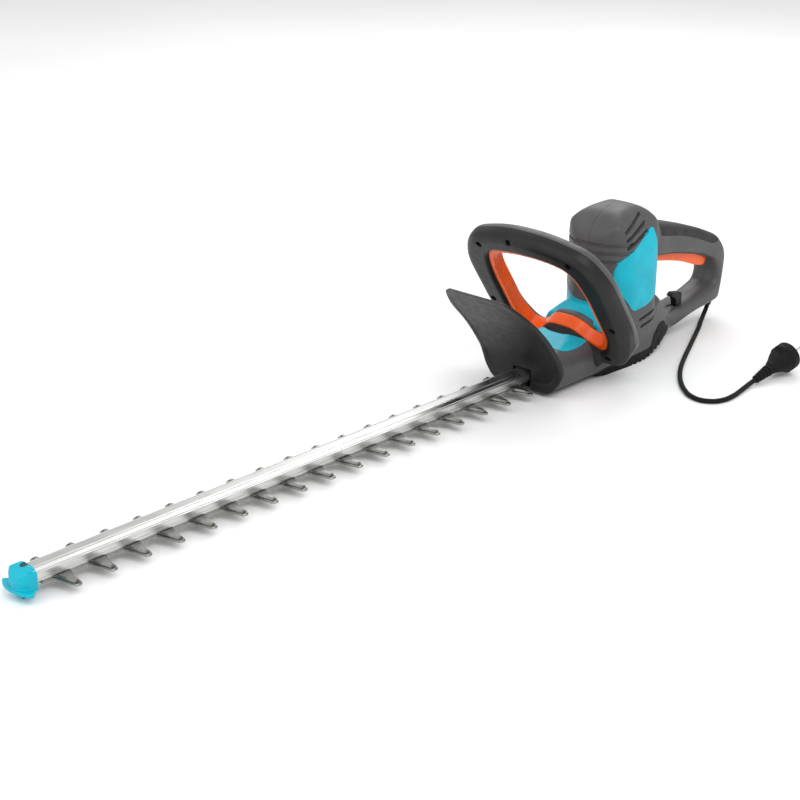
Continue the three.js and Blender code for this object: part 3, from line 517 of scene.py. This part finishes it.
def smooth_route(points, steps=8):
    """A centripetal Catmull-Rom curve through the points, sampled closely."""
    knots = [Vector(p) for p in points]
    knots = [2 * knots[0] - knots[1], *knots, 2 * knots[-1] - knots[-2]]
    line = []
    for p0, p1, p2, p3 in zip(knots, knots[1:], knots[2:], knots[3:]):
        t0 = 0.0
        t1 = t0 + math.sqrt((p1 - p0).length)
        t2 = t1 + math.sqrt((p2 - p1).length)
        t3 = t2 + math.sqrt((p3 - p2).length)
        for k in range(steps):
            t = t1 + (t2 - t1) * k / steps
            middle = blend(p1, p2, t1, t2, t)
            early = blend(blend(p0, p1, t0, t1, t), middle, t0, t2, t)
            late = blend(middle, blend(p2, p3, t2, t3, t), t1, t3, t)
            line.append(blend(early, late, t1, t2, t))
    line.append(knots[-2])
    return line


def add_cord():
    line = smooth_route(CORD_ROUTE)
    data = bpy.data.curves.new("lead", "CURVE")
    data.dimensions = "3D"
    data.bevel_depth = CORD_DIAMETER / 2 * MM
    data.bevel_resolution = 5
    data.use_fill_caps = True
    spline = data.splines.new("POLY")
    spline.points.add(len(line) - 1)
    for point, place in zip(spline.points, line):
        point.co = (*place, 1)
    lead = bpy.data.objects.new("lead", data)
    bpy.context.scene.collection.objects.link(lead)
    data.materials.append(BLACK_RUBBER)
    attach(lead, "chassis")
    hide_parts("power_cord")

    plug = add_plug()
    sleeve = add_sleeve()


def add_plug():
    """A two-pin round plug: a ribbed, tapered relief, a waisted grip and a flange round its face."""
    profile = [(0, 0), (3.2, 0)]
    for i in range(5):
        start = 1.0 + i * 4.6
        radius = 3.9 + i * 0.42
        profile += [(radius, start), (radius + 0.35, start + 0.5), (radius + 0.35, start + 2.2),
                    (radius, start + 2.7), (radius - 0.9, start + 3.1), (radius - 0.9, start + 4.2)]
    profile += [
        (6.2, 25), (7.4, 28), (8.6, 31.5), (10.4, 35.5), (12.4, 39.5), (13.7, 43), (14.2, 45.5),
        (15.0, 46.2), (15.1, 47), (15.1, 54.6), (14.8, 56.2), (13.8, PLUG_LENGTH), (0, PLUG_LENGTH),
    ]

    def grip(radius, height, angle):
        """Two flats with finger ridges between the relief and the flange."""
        if not 26 < height < 45:
            return radius
        flat = abs(math.cos(angle)) ** 3
        ridge = 0.25 * math.sin(height * 2.2)
        return radius * (1 - 0.16 * flat) + ridge * flat

    plug = turned(profile, PLUG_START, PLUG_AXIS, 56, grip)
    sideways = Y.cross(PLUG_AXIS).normalized()
    notch_line = (0.69 * PLUG_AXIS.cross(sideways) - 0.72 * sideways).normalized()
    for side in (-1, 1):
        at = PLUG_START + notch_line * 15.6 * side
        cut(plug, turned([(0, 38), (3.6, 38), (3.6, 60), (0, 60)], at, PLUG_AXIS, 24))
    return piece(plug, "plug", "chassis", BLACK_RUBBER, "plug_body", crease=50)


def add_sleeve():
    """The strain relief: a tapered, slotted rubber cone at the bottom of the rear handle."""
    length = (SLEEVE_TO - SLEEVE_FROM).length - 0.5
    profile = [(0, 0), (5.7, 0), (5.9, 0.6), (5.9, 3.4), (5.2, 4.2)]
    steps = 5
    for i in range(steps):
        start = 4.6 + i * (length - 5.4) / steps
        radius = 5.0 - i * 0.3
        profile += [(radius, start), (radius, start + 1.7), (radius - 0.7, start + 2.1),
                    (radius - 0.7, start + 2.7)]
    profile += [(3.5, length - 0.6), (3.3, length), (0, length)]
    sleeve = turned(profile, SLEEVE_FROM, SLEEVE_TO - SLEEVE_FROM, 40)
    return piece(sleeve, "strain_relief", "chassis", BLACK_RUBBER, "cord_sleeve")


# ---- housing -----------------------------------------------------------------------------------
def tower(inset):
    """The motor's tower, where its side, front and top views all agree."""
    side = rounded([
        (38 - inset, 40 + inset, 1), (38 - inset, 124 - inset, 18), (33 - inset, 147 - inset, 16),
        (16, 163 - inset, 20), (-14, 169 - inset, 24), (-35, 159 - inset, 18),
        (-46 + inset, 140 - inset, 14), (-50 + inset, 115 - inset, 14), (-48 + inset, 40 + inset, 1),
    ], 6)
    front = rounded(mirrored([
        (TOWER_HALF_WIDTH - 1 - inset, 39 + inset, 1), (TOWER_HALF_WIDTH - inset, 122 - inset, 18),
        (35 - inset, 148 - inset, 18), (22 - inset, 163 - inset, 16), (7 - inset / 2, 168.5 - inset, 10),
    ]), 8)
    plan = rounded([
        (38 - inset, -18 + inset, 14), (18, -TOWER_HALF_WIDTH + inset, 22),
        (-34, -TOWER_HALF_WIDTH + inset, 20), (-52 + inset, -18 + inset, 16),
        (-52 + inset, 18 - inset, 16), (-34, TOWER_HALF_WIDTH - inset, 20),
        (18, TOWER_HALF_WIDTH - inset, 22), (38 - inset, 18 - inset, 14),
    ], 10)
    return common(across(side, -60, 60), prism(ALONG_X, front, -70, 60), prism(ALONG_Z, plan, 30, 180))


def base(inset):
    """The gear room's body, with a lower, rounder bonnet in front of the handle."""
    side = rounded([
        (BASE_FRONT_X - inset, 4 + inset, 1), (BASE_FRONT_X - inset, 38 - inset, 4),
        (118 - inset, 43 - inset, 8), (98, 46.5 - inset, 10), (80, 49.5 - inset, 10),
        (52, 58 - inset, 8), (30, 71 - inset, 6), (-46, 70 - inset, 8), (-60, 48 - inset, 8),
        (-96, 36 - inset, 10), (-112 + inset, 25, 6), (-104 + inset, 15 + inset, 8),
        (-60, 6 + inset, 10), (-30, 4 + inset, 4),
    ], 2)
    plan = rounded([
        (BASE_FRONT_X - inset, -BASE_HALF_WIDTH + 3 + inset, 6), (110, -BASE_HALF_WIDTH + inset, 20),
        (-18, -BASE_HALF_WIDTH + inset, 24), (-62, -30 + inset, 20), (-112 + inset, -12 + inset, 8),
        (-112 + inset, 12 - inset, 8), (-62, 30 - inset, 20), (-18, BASE_HALF_WIDTH - inset, 24),
        (110, BASE_HALF_WIDTH - inset, 20), (BASE_FRONT_X - inset, BASE_HALF_WIDTH - 3 - inset, 6),
    ], 10)
    front = rounded(mirrored([
        (BASE_HALF_WIDTH - 6 - inset, 3.5 + inset, 5), (BASE_HALF_WIDTH - inset, 12, 6),
        (BASE_HALF_WIDTH - inset, 44 - inset, 10), (24 - inset, 71.5 - inset, 16),
    ]), 6)
    bonnet = rounded(mirrored([
        (60, -10, 0), (60, 22 - inset, 0), (41 - inset, 22 - inset, 4), (38.5 - inset, 33 - inset, 10),
        (27 - inset, 46 - inset, 14), (10, 51 - inset, 14),
    ]), 4)
    nose = cut(block(56, 160, -70, 70, 0, 90), prism(ALONG_X, bonnet, 40, 170))
    whole = common(across(side, -50, 50), prism(ALONG_Z, plan, -5, 80), prism(ALONG_X, front, -130, 160))
    return cut(whole, nose)


GRIP_OUTLINE = [
    (-30, 141, 0), (-85, 132, 30), (-143, 115, 40), (-184, 98, 20), (-200, 78, 22), (-196.5, 46, 14),
    (-191, 22, 12), (-176, 20, 8), (-142, 17, 12), (-104, 9, 10), (-60, 7, 10), (-30, 8, 0),
]
GRIP_HOLE = [
    (-36, 101, 2), (-100, 94, 20), (-150, 82, 20), (-176, 71, 14), (-184, 56, 12), (-181, 44, 8),
    (-154, 36, 12), (-120, 31, 12), (-98, 33, 8), (-80, 40, 6), (-36, 46, 2),
]
PANEL_OUTLINE = [
    (-26, 146, 6), (-35, 108, 10), (-33, 72, 12), (-18, 63, 10), (8, 61, 6), (27, 88, 12),
    (29, 106, 10), (24, 118, 10), (5, 129, 12),
]
INLAY_OUTLINE = [
    (-66, 150, 0), (-68, 122, 4), (-110, 114, 20), (-140, 104, 20), (-168, 92.5, 6), (-181, 93, 6),
    (-192, 120, 0), (-150, 150, 0),
]
INLAY_POCKET = [
    (-65.6, 150, 0), (-67.6, 121.6, 4), (-110, 113.6, 20), (-140, 103.6, 20), (-168, 92.1, 6),
    (-181.5, 92.6, 6), (-192.4, 120, 0), (-150, 150, 0),
]
TRIGGER_SLOT = [
    (-53.5, 112), (-53.5, 86), (-110, 78), (-178, 54), (-178, 92), (-150, 101), (-110, 107),
]
HOOK_RECESS = [(-120, 3, 2), (-88, 3, 6), (-84, 24, 4), (-118, 24, 4)]
# The line between the shells and the black underside, as an area below it.
UNDERSIDE = [
    (140, -6), (140, 7.2), (64, 7.2), (48, 10), (-52, 12.5), (-66, 17), (-84, 21), (-84, -6),
]
INLET_SLOTS = [(20, 147), (19.5, 139), (19, 131)]
INLET_LENGTH = 38
INLET_RISE = 0.36
GROOVE_HEIGHTS = (133, 124.5, 116)
GROOVE_DEPTH = 1.5
OUTLET_SLOTS = [(-4, 50), (-8, 41.5)]
OUTLET_LENGTH = 30
OUTLET_RISE = 0.2


def slot_tool(at, length, rise, height, y0, y1):
    """A slanted air slot that starts at its front end, between two distances across the tool."""
    x, z = at
    run, climb = length * math.cos(rise), length * math.sin(rise)
    return across(rounded([
        (x, z, 1.8), (x - run, z + climb, 1.8), (x - run, z + climb - height, 1.8), (x, z - height, 1.8),
    ], 1.8, 4), y0, y1)


def whole_body():
    """The housing as one soft-edged solid, before it is parted into its shells and panels."""
    grip = pillow(ALONG_Y, rounded(GRIP_OUTLINE, 6), -GRIP_HALF_WIDTH, GRIP_HALF_WIDTH, 6.5, 9)
    cut(grip, pillow(ALONG_Y, rounded(GRIP_HOLE, 6), -GRIP_HALF_WIDTH - 1, GRIP_HALF_WIDTH + 1, -7, 11))
    soften(grip, 1.4, 9)
    top = soften(tower(0), 1.6, 45)
    bottom = soften(base(0), 1.4, 6)
    return soften(join(top, bottom, grip), 1.2, 5)


def cover_room(grow):
    """The teal cover: the base's roof, with curved lower edges, and a collar up the tower's front."""
    roof = across(rounded([
        (40, 90, 0), (40, 48 - grow, 2), (70, 42.5 - grow, 16), (94, 40 - grow, 16),
        (114 + grow, 43 - grow, 5), (112 + grow, 90, 0),
    ], 6), -60, 60)
    collar = prism(ALONG_X, rounded([
        (-44, 50, 0), (-44, 84 + grow, 0), (-30, 77 + grow, 8), (-14, 71 + grow, 10),
        (14, 71 + grow, 10), (30, 77 + grow, 8), (44, 84 + grow, 0), (44, 50, 0),
    ], 8), 16 - grow, 62)
    low_front = across([(62, 40), (62, 100), (24, 100), (18, 50)], -60, 60)
    return cut(roof, block(0, 56 - grow, -70, 70, 20, 95)), common(collar, low_front)


def add_housing(handle):
    """Parts the body into shells, panels and cover, all cut clear of the front handle."""
    whole = whole_body()
    roof, collar = cover_room(0)
    roof_gap, collar_gap = cover_room(0.3)

    cover = common(copied(whole), join(roof, collar))
    cut(cover, swollen(handle, HANDLE_GAP), base(BASE_WALL), tower(COVER_WALL))
    piece(largest(cover, 0.2), "gear_room_cover", "chassis", TEAL, "gear_cover")

    panels = swollen(whole, PROUD)
    common(panels, across(rounded(PANEL_OUTLINE, 6), -60, 60))
    cut(panels, block(-80, 60, -24, 24, 40, 180), *[
        slot_tool(at, INLET_LENGTH + 1, INLET_RISE, 5.0, -60, 60) for at in INLET_SLOTS
    ])
    right = cut(copied(panels), block(-80, 60, -5, 60, 40, 180))
    cut(panels, block(-80, 60, -60, 5, 40, 180))
    inner = swollen(whole, -2.2)
    cut(right, copied(inner))
    cut(panels, inner)
    piece(largest(panels), "panel_left", "chassis", TEAL, "side_panel_left")
    piece(largest(right), "panel_right", "chassis", TEAL, "side_panel_right")

    inlay = common(swollen(whole, 0.2), across(rounded(INLAY_OUTLINE, 6), -60, 60))
    cut(inlay, swollen(whole, -2.6))
    piece(largest(inlay), "soft_inlay", "chassis", SOFT_GREY, "grip_inlay")

    # What is left of the body becomes the shells, parted along the middle plane.
    shell = whole
    pocket = cut(grown_prism(PANEL_OUTLINE, 0.35), swollen(shell, -2.4))
    inlay_gap = cut(across(rounded(INLAY_POCKET, 6), -60, 60), swollen(shell, -2.8))
    cut(shell, pocket, inlay_gap, roof_gap, collar_gap, swollen(handle, HANDLE_GAP))
    for y0, y1 in ((14, 60), (-60, -14)):
        cut(shell, *[slot_tool(at, INLET_LENGTH, INLET_RISE, 4.2, y0, y1) for at in INLET_SLOTS])
    for y0, y1 in ((24, 60), (-60, -24)):
        cut(shell, *[slot_tool(at, OUTLET_LENGTH, OUTLET_RISE, 3.4, y0, y1) for at in OUTLET_SLOTS])
    cut(shell, *corner_grooves())
    cut(shell, base(BASE_WALL), tower(TOWER_WALL), block(112, 150, -RAIL_HALF_ROOM, RAIL_HALF_ROOM, 5, 24.6))
    cut(shell, across(TRIGGER_SLOT, -TRIGGER_HALF_ROOM, TRIGGER_HALF_ROOM))
    cut(shell, turned([(0, -3), (6.4, -3), (6.4, 40), (0, 40)], SLEEVE_FROM, SLEEVE_TO - SLEEVE_FROM))
    cut(shell, prism(ALONG_Z, rounded(HOOK_RECESS, 3), 30, 60))
    cut(shell, across(UNDERSIDE, -60, 60))
    for x, z in HOUSING_SCREWS:
        cut(shell, turned([(0, 9), (3.7, 9), (3.7, 60), (0, 60)], (x, 0, z), -Y, 24))
    cut(shell, block(-230, 160, -SEAM / 2, SEAM / 2, -5, 190))
    other = cut(copied(shell), block(-230, 160, 0, 60, -5, 190))
    cut(shell, block(-230, 160, -60, 0, -5, 190))
    piece(largest(shell), "shell_left", "chassis", BODY_GREY, "housing_left")
    piece(largest(other), "shell_right", "chassis", BODY_GREY, "housing_right")


def grown_prism(outline, grow):
    """The outline's prism, widened about its own middle."""
    middle = sum((Vector(p[:2]) for p in outline), Vector((0, 0))) / len(outline)
    wide = []
    for p in outline:
        arm = Vector(p[:2]) - middle
        wide.append((*(middle + arm * (1 + grow / arm.length)), p[2]))
    return across(rounded(wide, 6), -60, 60)


def corner_grooves():
    """Three grooves that carry the air slots round the front of the tower."""
    tools = []
    for z in GROOVE_HEIGHTS:
        band = across([(60, z - 3), (60, z + 0.5), (10, z + 2), (10, z - 1.5)], -60, 60)
        tools.append(cut(band, tower(GROOVE_DEPTH)))
    return tools


# ---- hand guard --------------------------------------------------------------------------------
def add_guard():
    profile = rounded([
        (137.2, 4, 0), (137.2, 32, 10), (161, 66, 34), (211, 117, 0), (207.3, 117, 0), (157, 69.5, 34),
        (133, 35, 10), (133, 4, 0),
    ], 8, 12)
    face = rounded(mirrored([(37, 4, 10), (51.8, 24, 14), (51.8, 95, 18), (39, 118, 13)]), 8, 10)
    guard = common(across(profile, -60, 60), prism(ALONG_X, face, 120, 220))
    rim_in = rounded(mirrored([(33, 12, 10), (47, 28, 12), (47, 93, 16), (36, 113, 12)]), 8, 10)
    dish = common(across(rounded([
        (139, 12, 0), (139, 31, 10), (162.6, 65, 34), (212.6, 116, 0), (209.6, 116, 0),
        (159.6, 65.4, 34), (136.2, 31, 10), (136.2, 12, 0),
    ], 8, 12), -60, 60), prism(ALONG_X, rim_in, 120, 220))
    soften(cut(guard, dish), 0.8, 4)
    cut(guard, block(120, 150, -11.6, 11.6, 0, 24.6))
    piece(guard, "guard", "chassis", CHARCOAL, "hand_guard")


# ---- front handle ------------------------------------------------------------------------------
LOOP_OUTER = [
    *mirrored([(LOOP_HALF_WIDTH - 9, 2, 16), (LOOP_HALF_WIDTH, 36, 20), (LOOP_HALF_WIDTH, 108, 24),
               (LOOP_HALF_WIDTH - 16, LOOP_HEIGHT - 14, 30), (26, LOOP_HEIGHT, 24)]),
    (-64, -13, 14), (-43, -14, 3), (-43, 2, 6), (-30, 8, 10), (30, 8, 10), (43, 2, 6), (43, -14, 3),
    (64, -13, 14),
]


def loop_inner(inset, top=None):
    top = inset if top is None else top
    side = LOOP_INNER_HALF - inset
    return rounded([
        *mirrored([(side + 1, 26 + inset, 14), (side, 92, 20), (side - 8, LOOP_INNER_TOP - top - 5, 18),
                   (20, LOOP_INNER_TOP + 2 - top, 16)]),
        (-48 + inset * 0.6, 2 + inset, 14), (-30, 8 + inset, 10), (-15, 23 + inset, 12),
        (15, 23 + inset, 12), (30, 8 + inset, 10), (48 - inset * 0.6, 2 + inset, 14),
    ], 12)


def in_loop(y, height, depth):
    return IN_LOOP @ Vector((y, height, depth))


def add_front_handle():
    envelope = rounded(mirrored([
        (75, -24, 0), (85, 8, 24), (LOOP_HALF_WIDTH, 40, 24), (LOOP_HALF_WIDTH, 108, 24),
        (LOOP_HALF_WIDTH - 16, LOOP_HEIGHT - 14, 30), (26, LOOP_HEIGHT, 24),
    ]), 16)
    ring = common(pillow(IN_LOOP, envelope, LOOP_BACK, LOOP_FRONT, 9.5, 10.5),
                  prism(IN_LOOP, rounded(LOOP_OUTER, 16), LOOP_BACK - 1, LOOP_FRONT + 1))
    cut(ring, pillow(IN_LOOP, loop_inner(0), LOOP_BACK - 1, LOOP_FRONT + 1, -7, 9))
    join(ring, saddle())
    soften(ring, 1.1, 8)
    solid = copied(ring)
    groove = prism(IN_LOOP, loop_inner(-3.4, -3.2 - BAR_TRAVEL), BAR_BACK - 0.5, BAR_FRONT + 0.5)
    cut(ring, groove)
    for y, height in HANDLE_SCREWS:
        cut(ring, turned([(0, 9), (3.6, 9), (3.6, 22), (0, 22)], in_loop(y, height, 0), LOOP_NORMAL, 28))
    notch = prism(IN_LOOP, rounded([(-16, 144), (-10, 144), (-10, 150), (-16, 150)], 1), 12, 20)
    cut(ring, notch)
    cut(ring, prism(IN_LOOP, [(-120, -60), (120, -60), (120, 200), (-120, 200)],
                    LOOP_SEAM - SEAM / 2, LOOP_SEAM + SEAM / 2))
    half = [(-120, -60), (120, -60), (120, 200), (-120, 200)]
    rear = cut(copied(ring), prism(IN_LOOP, half, LOOP_SEAM, 60))
    cut(ring, prism(IN_LOOP, half, -60, LOOP_SEAM))
    piece(largest(ring), "loop_front", "chassis", CHARCOAL, "front_handle_front")
    piece(largest(rear), "loop_rear", "chassis", BODY_GREY, "front_handle_rear")

    bar = cut(prism(IN_LOOP, loop_inner(-3, -2.8), BAR_BACK, BAR_FRONT),
              prism(IN_LOOP, loop_inner(4.2), -20, 20))
    soften(bar, 0.8, 5)
    piece(bar, "switch_bar_front", "switch_bar", ORANGE, "front_switch_bar")
    return solid


def saddle():
    """The rolled hump on which the handle sits over the gear room, as wide as the body."""
    def hump(inset):
        return rounded(mirrored([
            (44 - inset, -14, 3), (44 - inset, 2 - inset, 8), (32 - inset, 9 - inset, 10),
            (16 - inset / 2, 26.6 - inset, 12),
        ]), 8)

    rings = [(-13.5, 7), (-12.4, 4), (-10.5, 1.5), (-8, 0.5), (12, 0), (18, 0.4), (22, 2), (25, 5)]
    return loft([[(p.x, p.y, n) for p in hump(inset)] for n, inset in rings], IN_LOOP)


# ---- trigger and hook --------------------------------------------------------------------------
def add_trigger():
    side = rounded([
        (-56, 105, 4), (-64, 105.5, 4), (-112, 96, 20), (-150, 86, 20), (-172, 76, 4), (-173, 70, 3),
        (-168, 65, 3), (-154, 68, 8), (-134, 76, 12), (-110, 83, 20), (-84, 88.5, 20), (-58, 93, 4),
    ], 3)
    trigger = soften(across(side, -7.4, 7.4), 0.7, 8)
    cut(trigger, turned([(0, -30), (2.3, -30), (2.3, 30), (0, 30)], (-60, 0, 102), Y, 28))
    piece(trigger, "trigger_lever", "trigger", ORANGE, "rear_trigger")


def add_hook():
    side = rounded([
        (-124, 31, 0), (-124, 45, 3), (-108, 48, 3), (-104, 44, 2), (-112, 41, 3), (-114.5, 31, 0),
    ], 2)
    hook = soften(across(side, 3.6, 11.2), 0.5, 3)
    piece(hook, "lead_hook", "chassis", BLACK_PLASTIC, "cable_hook")


# ---- blades, rail and tip ----------------------------------------------------------------------
LOWER_TOOTH = [(8.8, 8.5), (7.4, 11), (6.4, 14), (5.5, 17.5), (4.8, 21), (4.2, 25), (3.7, 28.5),
               (2.7, 30.6), (1.3, 31.4)]
UPPER_TOOTH = [(7.6, 8.5), (6.4, 11), (5.3, 14), (4.5, 17.5), (3.9, 21), (3.2, 25), (2.5, 28.4)]


def add_blade(name, tooth, side, slope, crown):
    """A toothed plate. Each tooth's top is ground back by `slope` along its cutting edges."""
    low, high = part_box(name)
    z0, z1 = low.z / MM, high.z / MM
    end_x = high.x / MM

    def outline(shrink, pull):
        edge = []
        for i in range(TOOTH_COUNT):
            x = FIRST_TOOTH_X + TOOTH_PITCH * i
            flank = [(max(half - shrink * (y - 8.5) / 14 if y < 22.5 else half - shrink, 0.5),
                      y - (pull if y > 26 else 0)) for half, y in tooth]
            edge += [(x - half, y) for half, y in flank]
            edge += [(x + half, y) for half, y in reversed(flank)]
        start = GEAR_X - YOKE_HALF_X - YOKE_RIM
        stop = GEAR_X + YOKE_HALF_X + YOKE_RIM
        wide = YOKE_HALF_Y + YOKE_RIM
        half = [(start, wide), (stop, wide), (stop, STRIP_HALF_WIDTH), *edge, (end_x, STRIP_HALF_WIDTH)]
        return [*half, *[(x, -y) for x, y in reversed(half)]]

    full, top = outline(0, 0), outline(slope, crown)
    rings = [[(x, y, z0) for x, y in full], [(x, y, z0 + (z1 - z0) * side) for x, y in full],
             [(x, y, z1) for x, y in top]]
    blade = loft(rings)
    cut(blade, block(GEAR_X - YOKE_HALF_X, GEAR_X + YOKE_HALF_X, -YOKE_HALF_Y, YOKE_HALF_Y, 0, 30))
    for i in range(6):
        x = FIRST_TOOTH_X + TOOTH_PITCH * (0.5 + 2.8 * i)
        cut(blade, block(x - STROKE - 3.2, x + STROKE + 3.2, -2.9, 2.9, 0, 30))
    made = piece(blade, name + "_ground", name, BLADE_STEEL, name, crease=12)
    # Faces that slope between level and upright, the ground facets, take the darker steel as painted shade.
    made.data.materials.append(GROUND_FACET_PAINTED_SHADE)
    for face in made.data.polygons:
        if 0.05 < face.normal.z < 0.97:
            face.material_index = 1


def add_rail():
    low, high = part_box("guide_rail")
    half, z0, top = high.y / MM, low.z / MM, high.z / MM
    section = mirrored([
        (half - 0.5, z0), (half, z0 + 0.6), (half, z0 + 2.2), (half - 0.45, z0 + 2.5),
        (half - 0.45, z0 + 2.9), (half, z0 + 3.2), (half, top - 3.2), (half - 0.3, top - 2.7),
        (half - 1.3, top - 2.5), (half - 1.5, top - 1.8), (half - 4.6, top - 0.5), (half - 4.9, top - 1.1),
        (half - 5.5, top - 1.1), (half - 5.8, top - 0.15), (half - 6.8, top),
    ])
    rail = prism(ALONG_X, section, low.x / MM, high.x / MM)
    cut(rail, turned([(0, top - 7), (1.8, top - 7), (1.8, top + 1), (0, top + 1)], (729.6, 0, 0), Z, 24))
    piece(rail, "rail", "chassis", RAIL_ALUMINIUM, "guide_rail", crease=8)


def add_tip():
    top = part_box("guide_rail")[1].z / MM
    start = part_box("tip_protector")[0].x / MM
    flange = rounded([
        (start, -11, 0), (731, -12, 3), (733, -17, 4), (737.5, -21, 4), (742, -13.5, 8), (744, -4, 5),
        (744, 4, 5), (742, 13.5, 8), (737.5, 21, 4), (733, 17, 4), (731, 12, 3), (start, 11, 0),
    ], 4)
    plan = rounded([
        (start, -12.4, 0), (735, -12.4, 8), (742, -5, 7), (742, 5, 7), (735, 12.4, 8), (start, 12.4, 0),
    ], 6)
    front = rounded(mirrored([
        (12.4, 6, 0), (12.4, top - 1, 3), (8.6, top + 2, 3), (3.6, top + 3.4, 3),
    ]), 3)
    side = rounded([
        (start, 7, 0), (start, top + 3.4, 1), (733, top + 2.6, 5), (741.4, top - 3.2, 6), (743, 7, 0),
    ], 2)
    keel = across(rounded([(731.4, 9, 0), (731.4, 0.1, 2), (736.6, 0.1, 2), (740, 9, 0)], 2), -4.4, 4.4)
    dome = common(across(side, -20, 20), prism(ALONG_Z, plan, 7, 40), prism(ALONG_X, front, 700, 760))
    tip = join(prism(ALONG_Z, flange, 7.2, 10.4), dome, keel)
    soften(tip, 0.5, 5)
    cut(tip, block(700, 734.4, -10.9, 10.9, 12.9, top + 0.3), block(700, 730.8, -9.1, 9.1, 7.8, 13.2))
    cut(tip, turned([(0, top - 2), (1.9, top - 2), (1.9, top + 1.4), (3.5, top + 1.4), (3.5, top + 6),
                     (0, top + 6)], (729.6, 0, 0), Z, 28))
    piece(largest(tip), "tip_guard", "chassis", TEAL, "tip_protector")


# ---- foot and screws ---------------------------------------------------------------------------
def add_foot():
    """The black underside: a plate, a ribbed pad behind the motor and a patch up each side."""
    whole = soften(base(0), 1.4, 6)
    plate = common(copied(whole), across([
        (131, -6), (131, 6.9), (64, 6.9), (48, 9.7), (-52, 12.2), (-66, 16.7), (-82, 20), (-82, -6),
    ], -60, 60))
    patch = common(swollen(whole, 0.7), across(rounded([
        (-32, 10, 0), (-42, 24, 3), (-54, 31, 3), (-66, 31, 3), (-80, 18, 0),
    ], 3), -60, 60))
    ribs = [(-94, 22)]
    for i in range(11):
        x = -92 + i * 8.4
        z = 17 - 16.9 * math.sin(min(1, i * 8.4 / 78) * math.pi / 2)
        ribs += [(x, z + 3.6), (x + 1.6, z + 0.3), (x + 4.6, z), (x + 6.4, z + 3.4)]
    pad_side = [*ribs, (2, 0.05), (46, 0.05), (58, 2.4), (64, 9), (-52, 12), (-80, 21)]
    plan = rounded([
        (66, -34, 8), (-18, -39.6, 20), (-62, -31, 16), (-84, -20, 6), (-84, 20, 6), (-62, 31, 16),
        (-18, 39.6, 20), (66, 34, 8),
    ], 8)
    pad = common(across(pad_side, -50, 50), prism(ALONG_Z, plan, -5, 30))
    foot = join(plate, patch, pad)
    bpy.data.objects.remove(whole)
    cut(foot, base(1.4), block(60, 140, -RAIL_HALF_ROOM, RAIL_HALF_ROOM, 5, 24))
    piece(largest(foot, 0.05), "ribbed_foot", "chassis", BLACK_RUBBER, "foot")


def screw(node, at, axis, head_from, head_to, radius):
    """A pan-head screw with a six-lobed recess, on the axis of the one it stands for."""
    low = head_from - 15
    body = turned([
        (0, low), (1.4, low), (1.4, head_from), (radius, head_from), (radius, head_to - 0.7),
        (radius - 0.25, head_to - 0.25), (radius - 0.9, head_to), (0, head_to),
    ], at, axis, 40)
    lobe = turned([(0, head_to - 1.1), (1.25, head_to - 1.1), (1.25, head_to + 1), (0, head_to + 1)],
                  at, axis, 48, lambda r, h, a: r * (1 + 0.16 * math.cos(6 * a)))
    cut(body, lobe)
    piece(body, node + "_head", "chassis", DARK_STEEL, node)


def add_screws():
    for i, (y, height) in enumerate(HANDLE_SCREWS):
        screw(f"handle_screw_{i + 1}", in_loop(y, height, 0), LOOP_NORMAL, HEAD_SEAT, 11.4, HEAD_RADIUS)
    for i, (x, z) in enumerate(HOUSING_SCREWS):
        screw(f"housing_screw_{i + 1}", (x, 0, z), -Y, HEAD_SEAT, 12, HEAD_RADIUS)


# ---- stage -------------------------------------------------------------------------------------
def add_stage():
    shape = bmesh.new()
    bmesh.ops.create_grid(shape, x_segments=8, y_segments=8, size=6000)
    floor = to_object(shape, "floor")
    pale = Finish("floor_pale")
    pale.link(pale.ramp(pale.noise(3.0), (0.93, 0.93, 0.93), (0.95, 0.95, 0.95)),
              pale.shader.inputs["Base Color"])
    pale.shader.inputs["Roughness"].default_value = 0.9
    floor.data.materials.append(pale.material)

    world = bpy.data.worlds.new("studio")
    bpy.context.scene.world = world
    world.use_nodes = True
    world.node_tree.nodes["Background"].inputs["Color"].default_value = (1, 1, 1, 1)
    world.node_tree.nodes["Background"].inputs["Strength"].default_value = 0.72

    lamps = [  # name, place, size, power
        ("key", (0.9, 1.5, 1.9), 1.6, 26),
        ("fill", (1.9, -0.6, 1.2), 1.8, 10),
        ("back", (-1.2, -0.9, 1.7), 1.5, 18),
    ]
    for name, place, size, power in lamps:
        data = bpy.data.lights.new(name, "AREA")
        data.size = size
        data.energy = power
        lamp = bpy.data.objects.new(name, data)
        bpy.context.scene.collection.objects.link(lamp)
        lamp.location = place
        aim = Vector((0.2, 0, 0.05)) - Vector(place)
        lamp.rotation_euler = aim.to_track_quat("-Z", "Y").to_euler()


finish_carried_nodes()
add_camera()
add_cord()
front_handle = add_front_handle()
add_housing(front_handle)
bpy.data.objects.remove(front_handle)
add_guard()
add_trigger()
add_hook()
add_blade("upper_blade", UPPER_TOOTH, 0.25, 1.5, 0.6)
add_blade("lower_blade", LOWER_TOOTH, 0.6, 0.5, 0.3)
add_rail()
add_tip()
add_foot()
add_screws()
add_stage()
